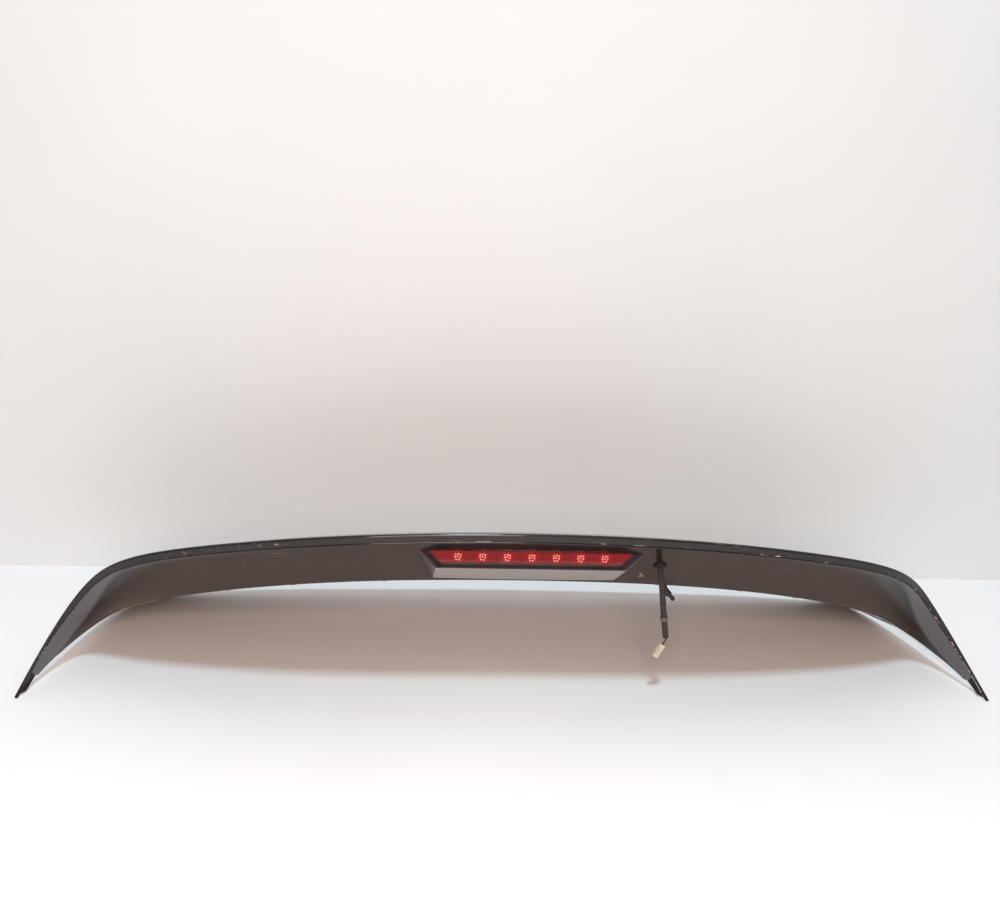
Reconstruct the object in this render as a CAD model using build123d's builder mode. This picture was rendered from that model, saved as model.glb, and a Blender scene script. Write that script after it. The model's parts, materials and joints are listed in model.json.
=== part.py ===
from build123d import *
import os
from math import atan, cos, hypot, radians, sin, sqrt, tan
import numpy as np

# A hollow rear spoiler for a tailgate, standing on its two ear tips and on the
# ends of its leading edge. X runs along the span, Y from the trailing edge to
# the leading edge, Z up. Lengths are in millimetres.

# Overall shape
half_width = 621.0        # centre to ear tip
crown_height = 226.0      # trailing edge above the ground at the centre
wing_depth = 300.0        # trailing edge to leading edge at the centre
lower_edge_depth = 90.0   # rear panel's lower edge behind the trailing edge
lower_edge_height = crown_height - 103.0
leading_height = 60.0     # leading edge above the ground at the centre
camber = 16.0             # rise of the outer skin above its chord at the centre

# Walls and joints of the three shells
skin_wall = 3.0
panel_wall = 2.5
carrier_wall = 2.5
bond_gap = 0.3            # glue line between shells
lip_length = 10.5         # turned-down rear edge of the outer skin
lip_turn = radians(61)    # from the chord to the lip
nose_length = 3.5         # rounding of the trailing edge
seam_gap = 1.2
seam_step = 0.8           # the panel lies this much inside the lip's face
flange_overlap = 4.2      # panel behind the lip
shoulder_length = 4.0
shoulder_depth = 1.5
edge_round = 3.0
face_crown = 0.1          # bulge of the panel's face at the centre
ear_bulge = 0.07          # bulge of the face on the ears, of its length
bulge_start = 2.3         # stations between which the ears' bulge grows
bulge_full = 4.0
return_flange = 12.0      # panel's lower flange, where the carrier is bonded
lip_gap = 0.5             # between the lip and the panel's upper flange
taper_start = 4.0         # station from which walls and lip get thinner
tip_share = 0.45          # of the full wall left at the ear tip

# How far each shell reaches, in stations from the centre
sections_per_station = 4
panel_reach = 5.5
carrier_reach = 2.5
seal_reach = 3.0
tape_start = 3.0
tape_reach = 5.0

# Base carrier
carrier_set_in = 6.0      # from the panel's lower edge
carrier_foot = 45.0       # from the leading edge to the carrier's upright web
web_lean = 8.0
bond_flange = 16.0
rib_stations = (1.3, 1.9)
rib_wall = 2.5
rib_clearance = 0.6
rib_set_back = 24.0       # from the trailing edge
rib_end = 76.0            # from the leading edge

# Fastenings
insert_radius = 4.5       # threaded inserts for the mounting screws
insert_bore = 2.5
insert_length = 10.0
insert_spacing_x = half_width - 161.0
insert_spacing_y = 24.0
insert_centre = 220.0     # middle of the insert rows behind the trailing edge
thread_clearance = 0.1
boss_radius = 9.0
boss_drop = 4.0           # boss faces below the mounting line at their middle
boss_height = 12.0
screw_stations = (0.9, 1.55, 2.1)
screw_set_in = 8.0
screw_head_radius = 3.2
screw_head = 0.9
screw_radius = 1.6
screw_length = 9.0
screw_clearance = 0.3
screw_head_taper = 20.0
seat_gap = 0.2            # under heads and flanges on curved shells

# Seals
seal_from_edge = 14.0
seal_width = 20.0
tape_width = 9.0
tape_thickness = 1.2
tape_gap = 0.3

# Stop lamp
lamp_drop = 25.0          # top of the lamp below the panel's upper edge, along it
face_height = 25.0
face_half_top = 142.0
face_half_bottom = face_half_top - 24.0
chin_half = face_half_bottom + 1.0
chin_rise = 4.5           # chin's end above the panel's lower edge, along the panel
face_wall = 9.0
bezel_wall = 2.5
bezel_depth = 12.0        # behind the panel
bezel_clearance = 0.4
opening_side = 2.0        # face left around the lamp opening
opening_top = 0.8
opening_bottom = 1.2
surround_margin = 1.0     # dark surround beside and above the lens
surround_bottom = 2.0     # surround's lower edge above the face's lower edge
surround_set_back = 6.0
surround_clearance = 0.3
lens_half_top = face_half_top - 14.5
lens_half_bottom = face_half_bottom - 5.0
lens_height = 16.5
lens_below_face_top = 3.2
lens_proud = 1.5
lens_seat = 3.0
lens_ledge = 2.0
lens_round = 1.0
lens_clearance = 0.3
gasket_thickness = 1.5
lamp_flange = 2.0
lamp_flange_rim = 4.0
housing_depth = 24.0
housing_wall = 2.0
reflector_depth = 10.0
led_count = 7
led_pitch = 0.269 * lens_half_bottom
cup_radius = 7.0
cup_base_radius = 4.0
led_side = 4.5
led_height = 2.4
board_thickness = 1.6
lamp_screw_span = lens_half_top + 1.5
lamp_screw_radius = 1.5
lamp_screw_head_radius = 2.8
lamp_screw_head = 2.0
lamp_screw_bite = 3.8
lamp_tab_radius = 4.5
socket_place = 0.65 * face_half_top
socket_round = 1.5
socket_length = 13.0
socket_width = 14.0
socket_height = 10.0

# Lead to the lamp
bend_share = 0.45         # of the shorter run taken up by a bend
lead_station = 0.83
lead_share = 0.47         # place on the panel, from its upper to its lower edge
grommet_radius = 8.5
grommet_neck_radius = 6.3
grommet_flange = 2.5
inner_lead_radius = 3.0
socket_run = 14.0         # inner lead, straight out of the socket
socket_bow = (30.0, 2.0, 0.0)
grommet_run = 7.0         # and straight into the grommet
grommet_bow = (-8.0, 0.0, 2.0)
loom_radius = 3.9
collar_radius = 4.9
collar_length = 5.0
collar_run = 5            # run of the loom that carries the collar
wire_radius = 0.5
wire_spread = 1.6
wire_length = 8.0
connector_width = 7.8
connector_thickness = 7.0
connector_length = 19.0
connector_tilt = 27.0
connector_wall = 1.4
connector_round = 1.2
connector_cavity = 11.0
wire_drop = 3.0
wire_bend = 2.0
latch_start = 4.0
latch_height = 1.4
latch_width = 3.0
latch_length = 9.0
collar_clearance = 0.3
loom_first_run = 8.5      # straight out of the grommet
loom_offsets = [          # route of the loom after that, from the grommet's face
    (1.0, -10.6, -14.4),
    (2.4, -13.0, -25.4),
    (4.4, -13.6, -39.0),
    (7.0, -13.4, -55.0),
    (10.2, -13.1, -72.5),
    (13.8, -12.9, -91.0),
]
terminal_side = 1.2
terminal_length = 8.0

# Washer hose stub and the eyelet beside the lamp
hose_station = 0.97
hose_set_in = 20.0
hose_radius = 4.3
hose_length = 13.0
hose_drop = 6.5
hose_lean = 42.0
fitting_radius = 2.7
fitting_length = 10.0
barb_radius = 3.4
barb_length = 3.0
barb_taper = 12.0
hose_grommet_radius = 7.5
hose_grommet_flange = 2.0
eyelet_station = 0.74
eyelet_share = 0.74
eyelet_radius = 4.0
eyelet_bore = 2.2
eyelet_flange = 1.2
eyelet_wall = 0.8

y_mid = wing_depth / 2

# Stations from the centre to the ear tip: trailing edge, lower edge, leading edge
inner_x = 0.322 * half_width
middle_x = 0.596 * half_width
outer_x = 0.789 * half_width
outer_low_x = 0.784 * half_width
trailing_rows = [
    (0, 0, crown_height),
    (inner_x, 3, crown_height - 6.5),
    (middle_x, 22, crown_height - 29),
    (outer_x, 53, crown_height - 63),
    (half_width - 65, 78, 111),
    (half_width - 25, 51, 51),
    (half_width - 1, 0.2, 1.1),
]
lower_rows = [
    (0, lower_edge_depth, lower_edge_height),
    (inner_x, lower_edge_depth, lower_edge_height - 4),
    (middle_x, lower_edge_depth + 19, lower_edge_height - 27),
    (outer_low_x, lower_edge_depth + 51, lower_edge_height - 61),
    (half_width - 73, 134, 40),
    (half_width - 30, 69, 19),
    (half_width - 9, 9, 2),
]
leading_rows = [
    (0, wing_depth, leading_height),
    (inner_x, wing_depth - 1, leading_height - 8),
    (middle_x, wing_depth - 2, leading_height - 27),
    (outer_low_x, wing_depth - 6, leading_height - 49.8),
    (half_width - 70, 262, 4.6),
    (half_width - 31, 106, 24),
    (half_width - 10, 13, 3),
]
last_station = len(trailing_rows) - 1


def mirrored_rows(rows):
    """Rows from the left tip to the right tip, centred on the part's depth."""
    right = np.array(rows, dtype=float) - [0, y_mid, 0]
    return np.concatenate([right[:0:-1] * [-1, 1, 1], right])


def spline_bends(rows):
    """Second differences of the natural cubic spline through equally spaced rows."""
    count = len(rows)
    system = np.eye(count)
    load = np.zeros_like(rows)
    for k in range(1, count - 1):
        system[k, k - 1:k + 2] = 1, 4, 1
        load[k] = 6 * (rows[k - 1] - 2 * rows[k] + rows[k + 1])
    return np.linalg.solve(system, load)


guides = [mirrored_rows(rows) for rows in (trailing_rows, lower_rows, leading_rows)]
guide_bends = [spline_bends(rows) for rows in guides]


def guide_points(station):
    """Trailing, lower and leading edge points at a station, negative to the left."""
    place = station + last_station
    k = min(int(place), 2 * last_station - 1)
    t = place - k
    s = 1 - t
    points = []
    for rows, bends in zip(guides, guide_bends):
        straight = s * rows[k] + t * rows[k + 1]
        bent = ((s**3 - s) * bends[k] + (t**3 - t) * bends[k + 1]) / 6
        points.append(Vector(*(straight + bent)))
    return points


def stations_between(first, last):
    """Evenly spaced stations from first to last."""
    count = round((last - first) * sections_per_station) + 1
    return [float(u) for u in np.linspace(first, last, count)]


def section_plane(station):
    """Plane through the three edges: local x along the chord, local y to the lower edge."""
    trailing, lower, leading = guide_points(station)
    chord = leading - trailing
    return Plane(origin=trailing, x_dir=chord, z_dir=chord.cross(lower - trailing))


upright = Vector(0, 1)


def meet(p, d, q, e):
    """Crossing of two lines in a section plane, each a point and a direction."""
    k = ((q.X - p.X) * e.Y - (q.Y - p.Y) * e.X) / (d.X * e.Y - d.Y * e.X)
    return p + d * k


def round_middle(start, corner, end):
    """Middle of a rounding between two points beside a corner."""
    return (start + end) / 4 + corner / 2


class Section:
    """Main points of the spoiler's section at a station, in its section plane."""

    def __init__(self, station):
        trailing, lower, leading = guide_points(station)
        self.plane = section_plane(station)
        self.chord = (leading - trailing).length
        self.lower = self.plane.to_local_coords(lower)
        self.leading = Vector(self.chord, 0)
        outward = max(0, (abs(station) - taper_start) / (last_station - taper_start))
        self.scale = 1 - (1 - tip_share) * outward**2 * (3 - 2 * outward)
        self.skin = skin_wall * self.scale
        self.panel = panel_wall * self.scale
        self.lip = lip_length * self.scale
        self.seam = seam_gap * self.scale
        self.rise = camber * self.chord / hypot(wing_depth, crown_height - leading_height)
        self.slope = 4 * self.rise / self.chord
        self.lip_dir = Vector(cos(lip_turn), sin(lip_turn))
        self.lip_inward = Vector(sin(lip_turn), -cos(lip_turn))
        self.shoulder = self.lip_dir * (self.lip + self.seam) + self.lip_inward * seam_step * self.scale
        self.panel_dir = (self.lower - self.shoulder).normalized()
        self.panel_inward = Vector(self.panel_dir.Y, -self.panel_dir.X)
        face_length = (self.lower - self.shoulder).length
        grown = min(1, max(0, (abs(station) - bulge_start) / (bulge_full - bulge_start)))
        self.bulge = face_crown + ear_bulge * face_length * grown**2 * (3 - 2 * grown)
        self.mount_dir = (self.leading - self.lower).normalized()
        self.mount_inward = Vector(self.mount_dir.Y, -self.mount_dir.X)

    def skin_inside(self, from_leading, below=0.0):
        """Point under the outer skin's inner face, a distance from the leading edge."""
        x = self.chord - from_leading
        rise = 4 * self.rise * (x / self.chord) * (1 - x / self.chord)
        return Vector(x, self.skin * sqrt(1 + self.slope**2) - rise + below)


def skin_runs(s):
    """Outer skin: cambered top, rounded trailing edge and turned-down lip."""
    nose = nose_length * s.scale
    top_end = Vector(nose, -s.slope * nose)
    lip_start = s.lip_dir * nose
    half_corner = (lip_turn + atan(s.slope)) / 2
    bisector = lip_turn - half_corner
    nose_gap = nose * (1 / cos(half_corner) - tan(half_corner))
    nose_middle = Vector(cos(bisector), sin(bisector)) * nose_gap
    lip_end = s.lip_dir * s.lip
    inner_start = s.skin * (sqrt(1 + s.slope**2) + cos(lip_turn) - s.slope * sin(lip_turn))
    inner_start /= sin(lip_turn) + s.slope * cos(lip_turn)
    corner = s.lip_inward * s.skin + s.lip_dir * inner_start
    edge = Vector(s.chord, s.skin)
    top_middle = Vector(s.chord / 2, -s.rise)
    return [
        (s.leading, top_middle, top_end),
        (top_end, nose_middle, lip_start),
        (lip_start, lip_end),
        (lip_end, lip_end + s.lip_inward * s.skin),
        (lip_end + s.lip_inward * s.skin, corner),
        (corner, top_middle + Vector(0, s.skin), edge),
        (edge, s.leading),
    ]


def panel_inner_corner(s):
    """Inner corner between the panel's face and its lower flange."""
    face = s.lower + s.panel_inward * s.panel
    flange = s.lower + s.mount_inward * s.panel
    return meet(face, s.panel_dir, flange, s.mount_dir)


def panel_runs(s):
    """Rear panel: flange behind the lip, rounded shoulder, face and lower flange."""
    behind = s.lip_inward * (s.skin + lip_gap)
    flange_top = behind + s.lip_dir * (s.lip - flange_overlap * s.scale)
    flange_end = behind + s.lip_dir * (s.lip + s.seam)
    turn = shoulder_length * s.scale
    turn_start = s.shoulder + s.lip_inward * shoulder_depth * s.scale
    turn_end = s.shoulder + s.panel_dir * turn
    turn_middle = round_middle(turn_start, s.shoulder, turn_end)
    edge = edge_round * s.scale
    edge_start = s.lower - s.panel_dir * edge
    edge_end = s.lower + s.mount_dir * edge
    face_middle = (turn_end + edge_start) / 2 - s.panel_inward * s.bulge
    edge_middle = round_middle(edge_start, s.lower, edge_end)
    toe = s.lower + s.mount_dir * return_flange * s.scale
    toe_inner = toe + s.mount_inward * s.panel
    inner = panel_inner_corner(s)
    back = s.lip_inward * (s.skin + lip_gap + s.panel)
    upper = meet(back, s.lip_dir, inner, s.panel_dir)
    inner_middle = (inner + upper) / 2 - s.panel_inward * s.bulge
    back_top = back + s.lip_dir * (s.lip - flange_overlap * s.scale)
    return [
        (flange_top, flange_end),
        (flange_end, turn_start),
        (turn_start, turn_middle, turn_end),
        (turn_end, face_middle, edge_start),
        (edge_start, edge_middle, edge_end),
        (edge_end, toe),
        (toe, toe_inner),
        (toe_inner, inner),
        (inner, inner_middle, upper),
        (upper, back_top),
        (back_top, flange_top),
    ]


def carrier_outer(s):
    """Outer line of the carrier: floor, upright web and flange under the skin."""
    floor = s.lower + s.mount_inward * (s.panel + bond_gap)
    start = floor + s.mount_dir * carrier_set_in
    foot = floor + s.mount_dir * ((s.leading - s.lower).length - carrier_foot)
    web_top = s.skin_inside(carrier_foot + web_lean, bond_gap)
    flange_end = s.skin_inside(carrier_foot + web_lean + bond_flange, bond_gap)
    return [start, foot, web_top, flange_end]


def carrier_inner(s):
    """Inner line of the carrier, one wall inside the outer line."""
    start, foot, web_top, flange_end = carrier_outer(s)
    web_dir = (web_top - foot).normalized()
    web_shift = Vector(web_dir.Y, -web_dir.X) * carrier_wall
    flange_dir = (flange_end - web_top).normalized()
    flange_shift = Vector(flange_dir.Y, -flange_dir.X) * carrier_wall
    floor_shift = s.mount_inward * carrier_wall
    inner_foot = meet(start + floor_shift, s.mount_dir, foot + web_shift, web_dir)
    inner_web_top = meet(foot + web_shift, web_dir, web_top + flange_shift, flange_dir)
    return [start + floor_shift, inner_foot, inner_web_top, flange_end + flange_shift]


def outline_runs(points):
    """Straight runs round a closed outline."""
    return list(zip(points, points[1:] + points[:1]))


def draw(runs):
    """Draws runs of two points as lines and of three points as arcs."""
    for run in runs:
        if len(run) == 2:
            Line(*run)
        else:
            ThreePointArc(*run)


def surface_plane(point_at, station, along):
    """Plane on a shell at a station, with its normal pointing out of the spoiler."""
    step = 0.01
    span = point_at(station + step) - point_at(station - step)
    across = along(station)
    return Plane(origin=point_at(station), x_dir=span, z_dir=across.cross(span))


def panel_plane(station, share):
    """Plane on the rear panel's face, share of the way from its upper to its lower edge."""
    def point_at(u):
        s = Section(u)
        return s.plane.from_local_coords(s.shoulder + (s.lower - s.shoulder) * share)

    def along(u):
        s = Section(u)
        return s.plane.from_local_coords(s.lower) - s.plane.from_local_coords(s.shoulder)

    return surface_plane(point_at, station, along)


def mount_plane(station, distance):
    """Plane on the mounting side, a distance in from the panel's lower edge."""
    def point_at(u):
        s = Section(u)
        return s.plane.from_local_coords(s.lower + s.mount_dir * distance)

    def along(u):
        s = Section(u)
        return s.plane.from_local_coords(s.leading) - s.plane.from_local_coords(s.lower)

    return surface_plane(point_at, station, along)


def station_at(x):
    """Station whose lower edge lies at a given distance from the centre."""
    low, high = 0.0, float(last_station)
    for _ in range(40):
        middle = (low + high) / 2
        if guide_points(middle)[1].X < x:
            low = middle
        else:
            high = middle
    return low


def mount_height(x, y):
    """Height of the mounting line at a place on the base."""
    _, lower, leading = guide_points(station_at(abs(x)))
    return lower.Z + (leading.Z - lower.Z) * (y - lower.Y) / (leading.Y - lower.Y)


# Lamp frame at the centre section, as points of depth and height
def depth_height(point):
    """A point of the centre section as depth and height."""
    return Vector(point.Y, point.Z)


centre = Section(0.0)
panel_top = depth_height(centre.plane.from_local_coords(centre.shoulder))
panel_bottom = depth_height(centre.plane.from_local_coords(centre.lower))
panel_line = (panel_bottom - panel_top).normalized()
panel_inside = Vector(-panel_line.Y, panel_line.X)
face_top = panel_top + panel_line * lamp_drop
face_bottom = face_top - Vector(0, face_height)
face_y = face_top.X
chin_end = panel_bottom - panel_line * chin_rise
face_lean = (face_half_top - face_half_bottom) / face_height
lens_top_z = face_top.Y - lens_below_face_top
lens_bottom_z = lens_top_z - lens_height
lens_mid_z = (lens_top_z + lens_bottom_z) / 2
lens_lean = (lens_half_top - lens_half_bottom) / lens_height
lens_back = surround_set_back + lens_seat


def lamp_outline(half_bottom, lean, bottom, top, grow):
    """Corners of a lamp outline that widens upwards, grown by a margin all round."""
    side = grow * hypot(1, lean)
    low, high = bottom - grow, top + grow
    low_half = half_bottom + lean * (low - bottom) + side
    high_half = half_bottom + lean * (high - bottom) + side
    return [(-high_half, high), (-low_half, low), (low_half, low), (high_half, high)]


def lens_outline(grow):
    """Outline of the lens."""
    return lamp_outline(lens_half_bottom, lens_lean, lens_bottom_z, lens_top_z, grow)


def surround_outline(grow):
    """Outline of the dark surround, which reaches below the lens."""
    bottom = face_bottom.Y + surround_bottom
    half = lens_half_bottom + lens_lean * (bottom - lens_bottom_z) + surround_margin
    return lamp_outline(half, lens_lean, bottom, lens_top_z + surround_margin, grow)


def front_opening():
    """Outline of the lamp opening in the frame's face."""
    bottom = face_bottom.Y + opening_bottom
    half = face_half_bottom + face_lean * opening_bottom - opening_side
    return lamp_outline(half, face_lean, bottom, face_top.Y - opening_top, 0)


def lamp_side_plane(side, grow):
    """Slanting side of the lamp frame through its face edge and the chin's end."""
    top = Vector(side * (face_half_top + grow), face_top.X, face_top.Y)
    bottom = Vector(side * (face_half_bottom + grow), face_bottom.X, face_bottom.Y)
    chin = Vector(side * (chin_half + grow), chin_end.X, chin_end.Y)
    return Plane(origin=bottom, x_dir=bottom - top, z_dir=(bottom - top).cross(chin - top) * side)


def wedge(profile, grow):
    """Block between the frame's slanting sides with a given side view."""
    with BuildPart() as block:
        with BuildSketch(Plane.YZ):
            with BuildLine():
                Polyline(*profile, close=True)
            make_face()
        extrude(amount=2 * face_half_top, both=True)
        split(bisect_by=lamp_side_plane(1, grow), keep=Keep.BOTTOM)
        split(bisect_by=lamp_side_plane(-1, grow), keep=Keep.BOTTOM)
    return block.part


def lamp_block(grow):
    """Block that the lamp frame fills, from its face and chin to behind the panel."""
    upper = face_top - panel_line * grow
    lower = chin_end + panel_line * grow
    back = panel_inside * bezel_depth
    front = face_bottom - Vector(grow, grow)
    return wedge([upper, front, lower, lower + back, upper + back], grow)


def lamp_plane(behind_face):
    """Plane facing the rear, a distance behind the lamp frame's face."""
    return Plane(origin=(0, face_y + behind_face, 0), x_dir=(1, 0, 0), z_dir=(0, -1, 0))


def bend_radii(route):
    """Radius of each bend of a lead, as large as its two runs allow."""
    radii = []
    for before, point, after in zip(route, route[1:], route[2:]):
        run_in, run_out = point - before, after - point
        half_turn = radians(run_in.get_angle(run_out)) / 2
        radii.append(bend_share * min(run_in.length, run_out.length) / tan(half_turn))
    return radii


os.makedirs("parts", exist_ok=True)


def keep_part(builder, name):
    """Labels a finished piece and writes it."""
    builder.part.label = name
    export_step(builder.part, f"parts/{name}.step")


# Outer skin
with BuildPart() as outer_skin:
    for station in stations_between(-last_station, last_station):
        with BuildSketch(section_plane(station)):
            with BuildLine():
                draw(skin_runs(Section(station)))
            make_face()
    loft()
keep_part(outer_skin, "outer_skin")

# Planes of what sits in the panel and the carrier
lead_plane = panel_plane(lead_station, lead_share)
eyelet_plane = panel_plane(eyelet_station, eyelet_share)
hose_plane = mount_plane(hose_station, hose_set_in)
screw_planes = [
    mount_plane(side * station, screw_set_in) for side in (-1, 1) for station in screw_stations
]

# Rear panel with the lamp opening
lamp_cut = lamp_block(bezel_clearance)
with BuildPart() as rear_panel:
    for station in stations_between(-panel_reach, panel_reach):
        with BuildSketch(section_plane(station)):
            with BuildLine():
                draw(panel_runs(Section(station)))
            make_face()
    loft()
    add(lamp_cut, mode=Mode.SUBTRACT)
    with BuildSketch(lead_plane):
        Circle(grommet_neck_radius + screw_clearance)
    extrude(amount=2 * grommet_radius, both=True, mode=Mode.SUBTRACT)
    with BuildSketch(eyelet_plane):
        Circle(eyelet_bore + screw_clearance)
    extrude(amount=2 * eyelet_radius, both=True, mode=Mode.SUBTRACT)
    with BuildSketch(*screw_planes):
        Circle(screw_radius + screw_clearance)
    extrude(amount=2 * panel_wall, both=True, mode=Mode.SUBTRACT)
keep_part(rear_panel, "rear_panel")

# Base carrier with bosses for the mounting inserts
insert_y = insert_centre - y_mid
insert_places = [
    (side_x * insert_spacing_x / 2, insert_y + side_y * insert_spacing_y / 2)
    for side_x in (-1, 1) for side_y in (-1, 1)
]
boss_face = mount_height(insert_spacing_x / 2, insert_y) - boss_drop
floor_depth = panel_wall + bond_gap + carrier_wall
with BuildPart() as base_carrier:
    for station in stations_between(-carrier_reach, carrier_reach):
        s = Section(station)
        with BuildSketch(section_plane(station)):
            with BuildLine():
                draw(outline_runs(carrier_outer(s) + carrier_inner(s)[::-1]))
            make_face()
    loft()
    with BuildSketch(Plane.XY.offset(boss_face)):
        with Locations(*insert_places):
            Circle(boss_radius)
    extrude(amount=boss_height)
    with BuildSketch(Plane.XY.offset(boss_face)):
        with Locations(*insert_places):
            Circle(insert_radius + thread_clearance)
    extrude(amount=insert_length, mode=Mode.SUBTRACT)
    with BuildSketch(hose_plane):
        Circle(hose_radius + screw_clearance)
    extrude(amount=3 * floor_depth, both=True, mode=Mode.SUBTRACT)
    with BuildSketch(*screw_planes):
        Circle(screw_radius + screw_clearance)
    extrude(amount=-2 * floor_depth, mode=Mode.SUBTRACT)
keep_part(base_carrier, "base_carrier")

# Stiffening ribs between the shells
with BuildPart() as stiffener_ribs:
    for station in [side * u for side in (-1, 1) for u in rib_stations]:
        s = Section(station)
        floor_point = carrier_inner(s)[0] + s.mount_inward * rib_clearance
        face_point = panel_inner_corner(s) + s.panel_inward * rib_clearance
        top_rear = s.skin_inside(s.chord - rib_set_back, rib_clearance)
        top_front = s.skin_inside(rib_end, rib_clearance)
        top_middle = s.skin_inside((s.chord - rib_set_back + rib_end) / 2, rib_clearance)
        rib_runs = outline_runs([
            top_rear,
            meet(top_rear, upright, face_point, s.panel_dir),
            meet(face_point, s.panel_dir, floor_point, s.mount_dir),
            meet(top_front, upright, floor_point, s.mount_dir),
            top_front,
        ])
        rib_runs[-1] = (top_front, top_middle, top_rear)
        with BuildSketch(section_plane(station)):
            with BuildLine():
                draw(rib_runs)
            make_face()
        extrude(amount=rib_wall / 2, both=True)
keep_part(stiffener_ribs, "stiffener_ribs")

# Screws through the panel's lower flange into the carrier
with BuildPart() as flange_screws:
    for plane in screw_planes:
        with BuildSketch(plane.offset(seat_gap)):
            Circle(screw_head_radius)
        extrude(amount=screw_head, taper=screw_head_taper)
        with BuildSketch(plane.offset(seat_gap)):
            Circle(screw_radius)
        extrude(amount=-screw_length)
keep_part(flange_screws, "flange_screws")

# Threaded inserts in the bosses
with BuildPart() as mounting_inserts:
    with BuildSketch(Plane.XY.offset(boss_face)):
        with Locations(*insert_places):
            Circle(insert_radius)
            Circle(insert_bore, mode=Mode.SUBTRACT)
    extrude(amount=insert_length)
keep_part(mounting_inserts, "mounting_inserts")

# Foam seal inside the leading edge
with BuildPart() as seal_strip:
    for station in stations_between(-seal_reach, seal_reach):
        s = Section(station)
        near, far = seal_from_edge, seal_from_edge + seal_width
        with BuildSketch(section_plane(station)):
            with BuildLine():
                draw(outline_runs([
                    s.skin_inside(near, bond_gap),
                    s.leading - s.mount_dir * near,
                    s.leading - s.mount_dir * far,
                    s.skin_inside(far, bond_gap),
                ]))
            make_face()
    loft()
keep_part(seal_strip, "seal_strip")

# Mounting tape under each ear's lower flange
with BuildPart() as right_tape:
    for station in stations_between(tape_start, tape_reach):
        s = Section(station)
        start = s.lower + s.mount_dir * edge_round
        end = s.lower + s.mount_dir * (edge_round + tape_width * s.scale)
        down = s.mount_inward * -tape_thickness
        lift = s.mount_inward * -tape_gap
        with BuildSketch(section_plane(station)):
            with BuildLine():
                draw(outline_runs([start + lift, end + lift, end + lift + down, start + lift + down]))
            make_face()
    loft()
with BuildPart() as ear_tapes:
    add(right_tape.part)
    mirror(right_tape.part, about=Plane.YZ)
keep_part(ear_tapes, "ear_tapes")

# Lamp frame
chin_dir = (chin_end - face_bottom).normalized()
chin_inward = Vector(-chin_dir.Y, chin_dir.X)
pocket_front = Vector(face_y + face_wall, face_top.Y)
top_wall = face_top + panel_line * bezel_wall
chin_wall = face_bottom + chin_inward * bezel_wall
end_wall = chin_end - panel_line * bezel_wall
pocket = [
    meet(pocket_front, upright, top_wall, panel_inside),
    meet(pocket_front, upright, chin_wall, chin_dir),
    meet(chin_wall, chin_dir, end_wall, panel_inside),
    end_wall + panel_inside * 2 * bezel_depth,
    top_wall + panel_inside * 2 * bezel_depth,
]
lamp_pocket = wedge(pocket, -bezel_wall)
lamp_screw_places = [(-lamp_screw_span, lens_mid_z), (lamp_screw_span, lens_mid_z)]
flange_back = face_wall + gasket_thickness + lamp_flange
with BuildPart() as lamp_bezel:
    add(lamp_block(0))
    add(lamp_pocket, mode=Mode.SUBTRACT)
    with BuildSketch(lamp_plane(0)):
        Polygon(*front_opening(), align=None)
    with BuildSketch(lamp_plane(face_wall)):
        Polygon(*surround_outline(surround_clearance), align=None)
    loft(mode=Mode.SUBTRACT)
    with BuildSketch(lamp_plane(face_wall)):
        with Locations(*lamp_screw_places):
            Circle(lamp_screw_radius + thread_clearance)
    extrude(amount=lamp_screw_bite, mode=Mode.SUBTRACT)
keep_part(lamp_bezel, "lamp_bezel")

# Lamp housing: neck in the frame's opening, flange behind it and a closed box
box_back = flange_back + housing_depth
with BuildPart() as lamp_housing:
    with BuildSketch(lamp_plane(flange_back)):
        Polygon(*surround_outline(0), align=None)
    extrude(amount=flange_back - surround_set_back)
    with BuildSketch(lamp_plane(flange_back)):
        Polygon(*surround_outline(lamp_flange_rim), align=None)
        with Locations(*lamp_screw_places):
            Circle(lamp_tab_radius)
    extrude(amount=lamp_flange)
    with BuildSketch(lamp_plane(box_back)):
        Polygon(*surround_outline(0), align=None)
    extrude(amount=housing_depth)
    with BuildSketch(lamp_plane(lens_back)):
        Polygon(*lens_outline(lens_clearance), align=None)
    extrude(amount=lens_seat, mode=Mode.SUBTRACT)
    with BuildSketch(lamp_plane(lens_back + housing_wall)):
        Polygon(*lens_outline(-lens_ledge), align=None)
    extrude(amount=housing_wall, mode=Mode.SUBTRACT)
    with BuildSketch(lamp_plane(box_back - housing_wall)):
        Polygon(*surround_outline(-housing_wall), align=None)
    extrude(amount=box_back - 2 * housing_wall - lens_back, mode=Mode.SUBTRACT)
    with BuildSketch(lamp_plane(flange_back)):
        with Locations(*lamp_screw_places):
            Circle(lamp_screw_radius + thread_clearance)
    extrude(amount=lamp_flange, mode=Mode.SUBTRACT)
keep_part(lamp_housing, "lamp_housing")

with BuildPart() as lamp_gasket:
    with BuildSketch(lamp_plane(face_wall + gasket_thickness)):
        Polygon(*surround_outline(lamp_flange_rim), align=None)
        Polygon(*surround_outline(lens_clearance), align=None, mode=Mode.SUBTRACT)
    extrude(amount=gasket_thickness)
keep_part(lamp_gasket, "lamp_gasket")

with BuildPart() as lamp_screws:
    with BuildSketch(lamp_plane(flange_back)):
        with Locations(*lamp_screw_places):
            Circle(lamp_screw_head_radius)
    extrude(amount=-lamp_screw_head)
    with BuildSketch(lamp_plane(flange_back)):
        with Locations(*lamp_screw_places):
            Circle(lamp_screw_radius)
    extrude(amount=flange_back - face_wall + lamp_screw_bite - thread_clearance)
keep_part(lamp_screws, "lamp_screws")

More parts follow.
